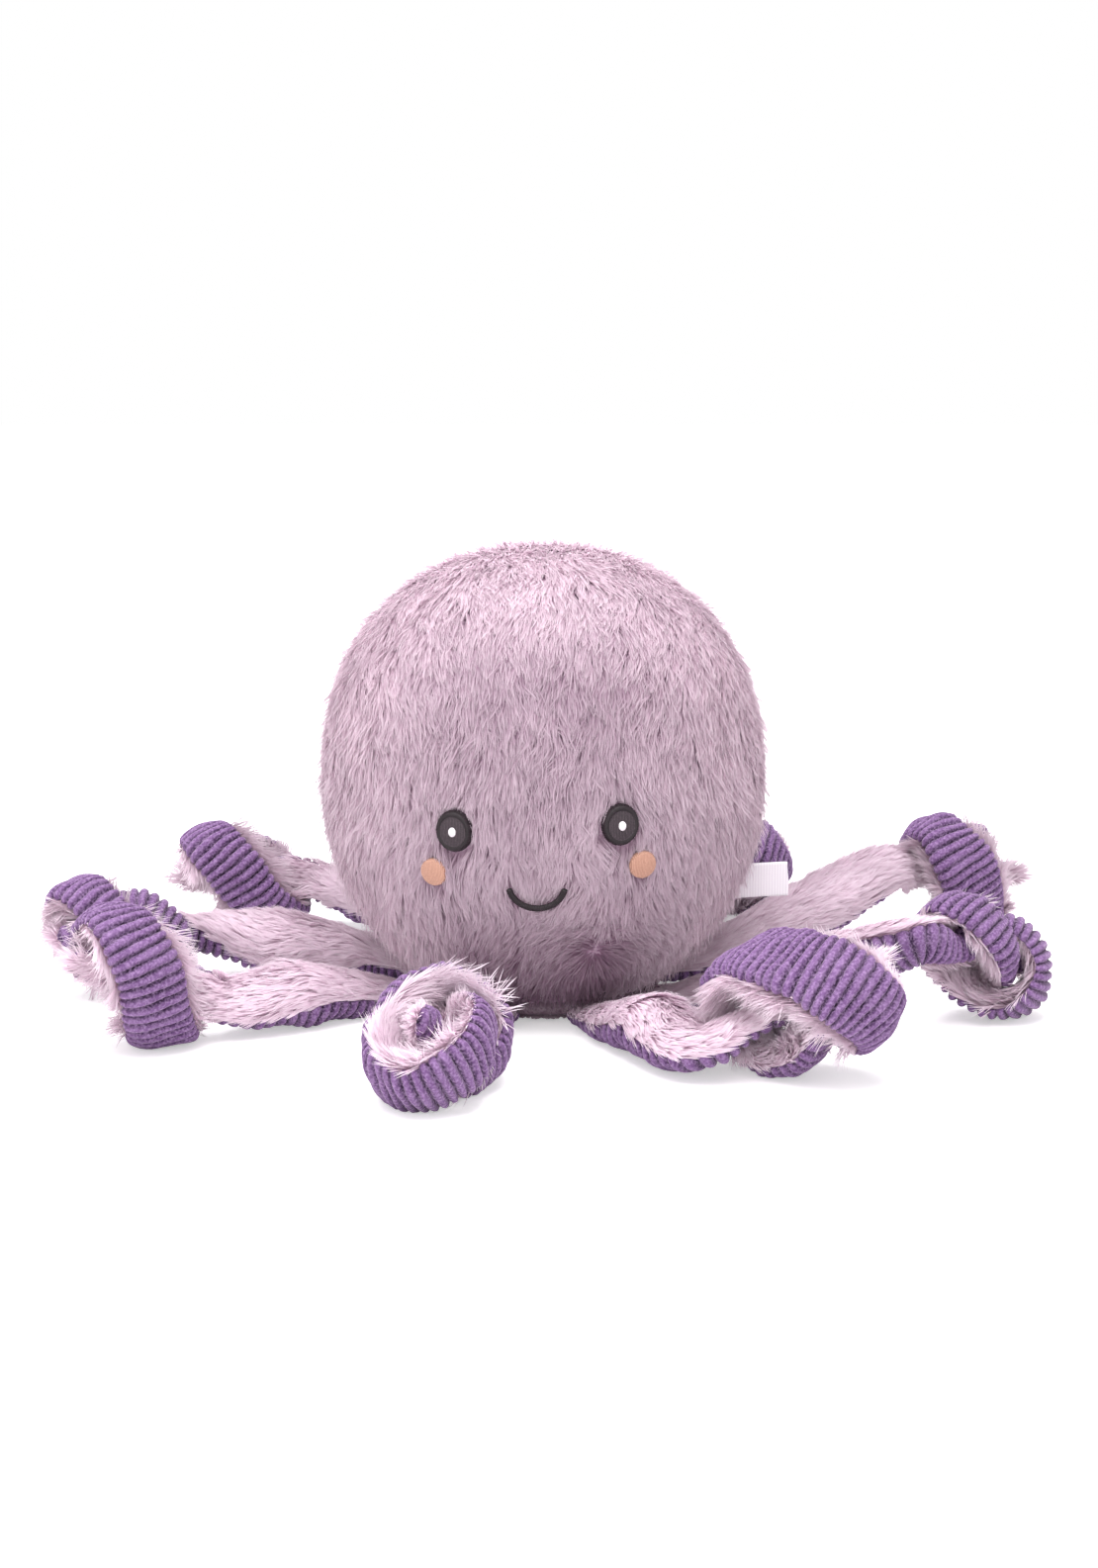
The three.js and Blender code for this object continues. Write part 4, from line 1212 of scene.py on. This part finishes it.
def read_route(points, stops):
    """Places, directions along, towards the plush and across, and sizes at the stops."""
    places, facings, sizes, radial, _ = points
    last = len(places) - 1
    along = unit(through(places, np.minimum(stops + STOP_NUDGE, last), True)
                 - through(places, np.maximum(stops - STOP_NUDGE, 0), True))
    along = np.where(stops[:, None] <= 1, radial, along)
    cord = unit(across_the(along, through(facings, stops, False)))
    before = np.minimum(np.floor(stops).astype(int), last - 1)
    share = (stops - before)[:, None]
    size = sizes[before] * (1 - share) + sizes[before + 1] * share
    rounding = np.where(stops < 1, np.sqrt(np.clip(1 - (1 - stops) ** 2, 0, 1)), 1)
    size[:, 1:] *= rounding[:, None]
    return {"place": through(places, stops, True), "along": along, "pile": -cord,
            "across": np.cross(along, cord), "size": size}


def lowest_point(line):
    """Height of the lowest corner of the tube at each station."""
    half, pile, cord = line["size"].T
    corners = [(way * share * half, rise) for way in (1, -1)
               for share, rise in ((1, 0), (CREST_SHARE, pile), (CREST_SHARE, -cord))]
    heights = [line["across"][:, 2] * side + line["pile"][:, 2] * rise for side, rise in corners]
    return line["place"][:, 2] + np.min(heights, axis=0)


def arm_line(name, spacing):
    """The arm's stations, evenly spaced along it and resting on the floor."""
    start_height = KNOT_HALF[2] + KNOT[2]
    points = route_points(name, start_height)
    knot_start, last = points[4], len(points[0]) - 1
    knot_stops = np.linspace(knot_start, last - 1, KNOT_READINGS)
    knot_middle = start_height + FLOOR_GAP - lowest_point(read_route(points, knot_stops)).min()
    points = route_points(name, knot_middle)
    stops = np.linspace(0.02, last, ROUTE_READINGS)
    place = read_route(points, stops)["place"]
    travelled = np.concatenate([[0], np.cumsum(np.linalg.norm(np.diff(place, axis=0), axis=-1))])
    even = np.linspace(0, travelled[-1], int(travelled[-1] / spacing))
    line = read_route(points, np.interp(even, travelled, stops))
    line["travelled"] = even
    line["stop"] = np.interp(even, travelled, stops)
    line["place"][:, 2] += np.maximum(FLOOR_GAP - lowest_point(line), 0)
    return line


print(f"left arm: {arm_line('left', 1.0)['travelled'][-1]:.0f} mm along its middle")

# %% [markdown]
# ### Corduroy and plush of an arm
# Across the tube, the corduroy is the lower half of a flattened round and the plush the upper half. The ribs
# run across the arm, 3.6 mm apart along the cloth, which is what gives the knots their fanned look. Each rib
# is a plump bow with a narrow groove beside it, and it wavers a little, because the cloth is stretched over
# the filling.

# %% The two halves of the tube
TIP_ROUND = 4.0
ARCH_POWER = 0.8


def half_tube(line, turn, rise, half):
    """A sheet over one half of the tube. rise is positive on the plush side."""
    side = half[:, None] * -np.cos(turn)[None, :]
    up = rise[:, None] * np.sin(turn)[None, :] ** ARCH_POWER
    return (line["place"][:, None, :] + line["across"][:, None, :] * side[..., None]
            + line["pile"][:, None, :] * up[..., None])


def end_rounding(line):
    """How full the tube is near its tip."""
    left = (line["travelled"][-1] - line["travelled"]) / TIP_ROUND
    return np.sqrt(np.clip(1 - np.clip(1 - left, 0, 1) ** 2, 0.03, 1))


print("tube halves ready")

# %% Corduroy strip
RIB_PITCH, ROWS_PER_RIB = 3.6, 10
rib_height = 2.4
cloth_thickness, GROUND_SHARE = 0.9, 0.4
corduroy_columns = 22
scallop = 0.5
BOW_POWERS = (2.4, 0.6)
GROOVE_SHARE = 0.62
CORDUROY_WAVERS = ((0.1, 22, 21), (0.03, 7, 22))
CREASE_DEPTH, CREASE_LENGTH = 0.5, 14
CORDUROY_LOWEST = 0.05


def corduroy_strip(name, line):
    """The ribbed cloth of an arm. Its ribs are counted along the cloth, not along the tube's middle."""
    turn = np.linspace(0.0, math.pi, corduroy_columns)
    rounding = end_rounding(line)
    half, _, cord = line["size"].T
    base = half_tube(line, turn, -cord * rounding, half * rounding)
    normal = unit(np.cross(np.gradient(base, axis=0), np.gradient(base, axis=1)))
    outward = (normal[:, corduroy_columns // 2] * -line["pile"]).sum(-1)
    normal = normal * np.sign(outward)[:, None, None]
    back = line["place"] - line["pile"] * cord[:, None]
    along_cloth = np.concatenate([[0], np.cumsum(np.linalg.norm(np.diff(back, axis=0), axis=-1))])
    waver = sum(share * ripple(base, length, seed) for share, length, seed in CORDUROY_WAVERS)
    from_crest = np.abs(2 * ((along_cloth[:, None] / RIB_PITCH + waver) % 1) - 1)
    bow = np.clip(1 - from_crest ** BOW_POWERS[0], 0, 1) ** BOW_POWERS[1]
    edge = np.clip(np.sin(turn) * 2.5, 0.45, 1)[None, :]
    crease = CREASE_DEPTH * ripple(base, CREASE_LENGTH, 23)
    height = ((bow - GROOVE_SHARE) * rib_height * edge + crease) * rounding[:, None]
    to_edge = (-np.cos(turn) * np.abs(np.cos(turn)) ** 5)[None, :]
    sideways = to_edge * (bow - 0.5) * scallop * rounding[:, None]
    outer = base + normal * height[..., None] + line["across"][:, None, :] * sideways[..., None]
    outer[..., 2] = np.maximum(outer[..., 2], CORDUROY_LOWEST)
    depth = (GROUND_SHARE * rib_height + cloth_thickness) * np.clip(rounding, 0.1, 1)
    points, quads = shell_of(outer, base - normal * depth[:, None, None])
    values = {"rib_height": np.concatenate([bow.ravel(), np.zeros(bow.size)])}
    return mesh_piece(f"{name}_arm_corduroy_fabric", points, quads, corduroy, values=values,
                      bake_map=strip_map(len(half), corduroy_columns))


print(f"ribs {RIB_PITCH} mm apart")

# %% [markdown]
# The fur of an arm is combed along it towards the tip and droops over both edges, so that it hides the seam
# and overhangs the corduroy. Inside the folds of the knot it is longer, stands up and is tangled, and where a
# strand would come out through another loop, it is cut shorter.

# %% Plush strip
arm_pile_depth = 3.4
plush_spacing, plush_columns = 1.2, 14
EDGE_INSET, LINING_INSET, LINING_SHARE = 0.6, 1.4, 0.4
THINNEST_RISE = 0.9


def plush_sheets(line):
    """The outer and the inner sheet of the plush's knitted backing."""
    turn = np.linspace(0.0, math.pi, plush_columns)
    rounding = end_rounding(line)
    half, pile, _ = line["size"].T
    rise = np.maximum(pile - arm_pile_depth, THINNEST_RISE) * rounding
    outer = half_tube(line, turn, rise, (half - EDGE_INSET) * rounding)
    lining = rise - np.minimum(EDGE_INSET, LINING_SHARE * rise)
    inner = half_tube(line, turn, lining, (half - LINING_INSET) * rounding)
    return outer, inner


print("plush sheets:", plush_columns, "points across")

# %% Strands inside a knot
LOOP_STEP, OWN_STOPS = 2, 1.2
LOOP_KEEP_SHARES = (1.0, 0.75, 0.55, 0.4)
LOOP_SIDE, LOOP_ABOVE, LOOP_BELOW = 0.5, 0.5, 3.0


def kept_in(strands, stop, line):
    """Shorter strands where they would come out through another loop of the knot."""
    loops = {key: value[::LOOP_STEP] for key, value in line.items()}
    step = LOOP_STEP * plush_spacing
    half, _, cord = loops["size"].T
    other_loop = np.abs(stop[:, None] - loops["stop"][None, :]) > OWN_STOPS
    root, best = strands[:, :1], strands.copy()
    blocked = np.ones(len(strands), bool)
    for share in LOOP_KEEP_SHARES:
        tried = np.flatnonzero(blocked)
        shorter = root[tried] + (strands[tried] - root[tried]) * share
        best[tried] = shorter
        still = np.zeros(len(tried), bool)
        for point in (2, 3):
            away = shorter[:, point, None, :] - loops["place"][None]
            near = np.abs((away * loops["along"]).sum(-1)) < step
            near &= np.abs((away * loops["across"]).sum(-1)) < half + LOOP_SIDE
            rise = (away * loops["pile"]).sum(-1)
            near &= (rise < LOOP_ABOVE) & (rise > -cord - LOOP_BELOW)
            still |= (near & other_loop[tried]).any(-1)
        blocked[tried] = still
    return best


print("knot check ready")

# %% Fur of an arm
ARM_STRANDS_PER_CM2 = 420
arm_fur_width = 0.32
strap_fur_length, knot_fur_length, inner_fur_length = 7.5, 7.5, 12.5
KNOT_STARTS, KNOT_BLEND, KNOT_CHECK_STOP, KNOT_MIDDLE_STOP = 4.2, 2, 3.5, 5
TIP_STOPS, TIP_GROWTH, TIP_DROOP = 1.5, 0.5, 0.6
EDGE_DROOP, KNOT_DROOP = 0.15, 0.2
ONWARD_LEAST = 0.2
WIND_SHARE, WIND_LENGTH = 0.2, 18
FULL_FUR_HALF, SHORTEST_SHARE = 9, 0.65
STRAP_LEAN, KNOT_MORE, INNER_MORE = (22, 4), (10, 7), (26, 20)
STRAP_LIFT = 1.2
INWARD_LIMIT = 0.3
ARM_PULL, ARM_TUFT_SPACING, TURN_SPREAD, TANGLE_SPREAD = 0.15, 1.8, 7, 24
ARM_MOTTLE_SHARE, ARM_MOTTLE_LENGTH = 0.06, 15
# Painted shade: arms further back, away from the viewer, are darker.
DEPTHS, DEPTH_PAINTED_SHADE = (-60, 60), (0.0, 0.22)


def arm_fur(name, outer, line):
    """The strands over the outer sheet of an arm's plush."""
    root = scatter(outer, strands_over(outer, ARM_STRANDS_PER_CM2))
    row = np.round(root["row"]).astype(int)
    stop, ahead, across, up = (line[key][row] for key in ("stop", "along", "across", "pile"))
    offset = root["column"] / (plush_columns - 1) * math.pi
    side_share = -np.cos(offset)[:, None]
    outward = unit(up * np.sin(offset)[:, None] + across * side_share)
    facing = np.sign((root["normal"] * outward).sum(-1, keepdims=True))
    root["normal"] = unit(root["normal"] * facing + outward)

    knotted = np.clip((stop - KNOT_STARTS) / KNOT_BLEND, 0, 1)
    at_tip = np.clip((stop - line["stop"][-1]) / TIP_STOPS + 1, 0, 1)
    knot_middle = line["place"][line["stop"] > KNOT_MIDDLE_STOP].mean(0)
    away = unit(root["place"] - knot_middle)
    inward = np.clip(INWARD_LIMIT - (root["normal"] * away).sum(-1), 0, 1) * knotted

    droop = (EDGE_DROOP + KNOT_DROOP * knotted)[:, None] * side_share * np.abs(side_share)
    onward = (root["along"] * ahead).sum(-1, keepdims=True) > ONWARD_LEAST
    comb = np.where(onward, root["along"], ahead)
    comb = comb + across * (droop + WIND_SHARE * ripple(root["place"], WIND_LENGTH, 31)[:, None])
    comb = comb - up * (TIP_DROOP * at_tip)[:, None]

    length = strap_fur_length + (knot_fur_length - strap_fur_length) * knotted
    length = length + (inner_fur_length - knot_fur_length) * inward
    length = length * np.clip(line["size"][row, 0] / FULL_FUR_HALF, SHORTEST_SHARE, 1)
    length = length * (1 + TIP_GROWTH * at_tip)
    lean = [usual + more * knotted + inner * inward
            for usual, more, inner in zip(STRAP_LEAN, KNOT_MORE, INNER_MORE)]
    root["place"] = root["place"] + root["normal"] * (STRAP_LIFT * (1 - knotted))[:, None]
    strands, tone_and_shade = grow(root, comb, length, lean, ARM_PULL, ARM_TUFT_SPACING,
                         TURN_SPREAD + TANGLE_SPREAD * inward)
    inside = stop > KNOT_CHECK_STOP
    strands[inside] = kept_in(strands[inside], stop[inside], line)
    tone_and_shade = tone_and_shade + ARM_MOTTLE_SHARE * ripple(root["place"], ARM_MOTTLE_LENGTH, 33)
    # Painted shade, more on the arms further back.
    tone_and_shade = np.clip(tone_and_shade + np.interp(root["place"][:, 1], DEPTHS, DEPTH_PAINTED_SHADE), 0, 1)
    return fur(f"{name}_arm_plush_pile", strands, root["normal"], tone_and_shade, arm_fur_width, lit_arm_pile)


print("strands in a square centimetre:", ARM_STRANDS_PER_CM2)

# %% [markdown]
# A lumpy roll of fibre fills the stuffed stretch of the arm. It keeps clear of both cloths, and the root and
# the tip stay empty.

# %% Filling of an arm
CORE_SIDES, CORE_WIDTH_SHARE = 12, 0.55
CORE_STARTS, CORE_STOPS_SHORT = 2.2, 1
PLUSH_CLEARANCE, CORDUROY_CLEARANCE, CORE_THINNEST = 1.2, 2.6, 0.3
CORE_END_ROWS = 4


def filling_core(name, line):
    inside = (line["stop"] > CORE_STARTS) & (line["stop"] < line["stop"][-1] - CORE_STOPS_SHORT)
    stretch = {key: value[inside] for key, value in line.items()}
    half, pile, cord = stretch["size"].T
    turn = np.linspace(0, 2 * math.pi, CORE_SIDES, endpoint=False)
    to_plush = np.maximum(pile - arm_pile_depth - PLUSH_CLEARANCE, CORE_THINNEST)[:, None]
    to_corduroy = np.maximum(cord - CORDUROY_CLEARANCE, CORE_THINNEST)[:, None]
    rise = np.where(np.sin(turn) > 0, to_plush, to_corduroy) * np.sin(turn)
    side = CORE_WIDTH_SHARE * half[:, None] * np.cos(turn)
    from_end = np.minimum(np.arange(len(half)), np.arange(len(half))[::-1])
    rounding = np.sqrt(np.clip(from_end / CORE_END_ROWS, 0.05, 1))[:, None]
    rings = (stretch["place"][:, None] + stretch["across"][:, None] * (side * rounding)[..., None]
             + stretch["pile"][:, None] * (rise * rounding)[..., None])
    points, quads, caps = roll_of(rings)
    return mesh_piece(f"{name}_arm_filling_fibre", points, quads, filling, caps)


print("filling ready")

# %% [markdown]
# ### Making the arms
# An arm swings at its root seam. Each arm's corduroy, plush backing, fur and filling are made where the arm
# lies at rest, and the plain solids that they stand for are hidden.

# %% All eight arms
for name in ARMS:
    root, radial = root_of(name)
    line = arm_line(name, plush_spacing)
    cord_piece = corduroy_strip(name, arm_line(name, RIB_PITCH / ROWS_PER_RIB))
    outer, inner = plush_sheets(line)
    points, quads = shell_of(outer[:, ::-1], inner[:, ::-1])
    cloth_piece = mesh_piece(f"{name}_arm_plush_fabric", points, quads, lit_arm_backing)
    pile_piece = arm_fur(name, outer, line)
    core_piece = filling_core(name, line)
    for piece, node, slot in ((cord_piece, "corduroy", "corduroy"), (cloth_piece, "plush", "arm_plush"),
                              (pile_piece, "plush", "arm_plush"), (core_piece, "filling", "filling")):
        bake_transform(piece)
        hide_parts(f"{name}_arm_{node}")
    print(name, "arm strands:", len(pile_piece.data.vertices) // POINTS_PER_STRAND)

# %% Size and finish
faces = sum(len(o.data.polygons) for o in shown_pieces() if o.type == "MESH")
print("faces in all:", faces)
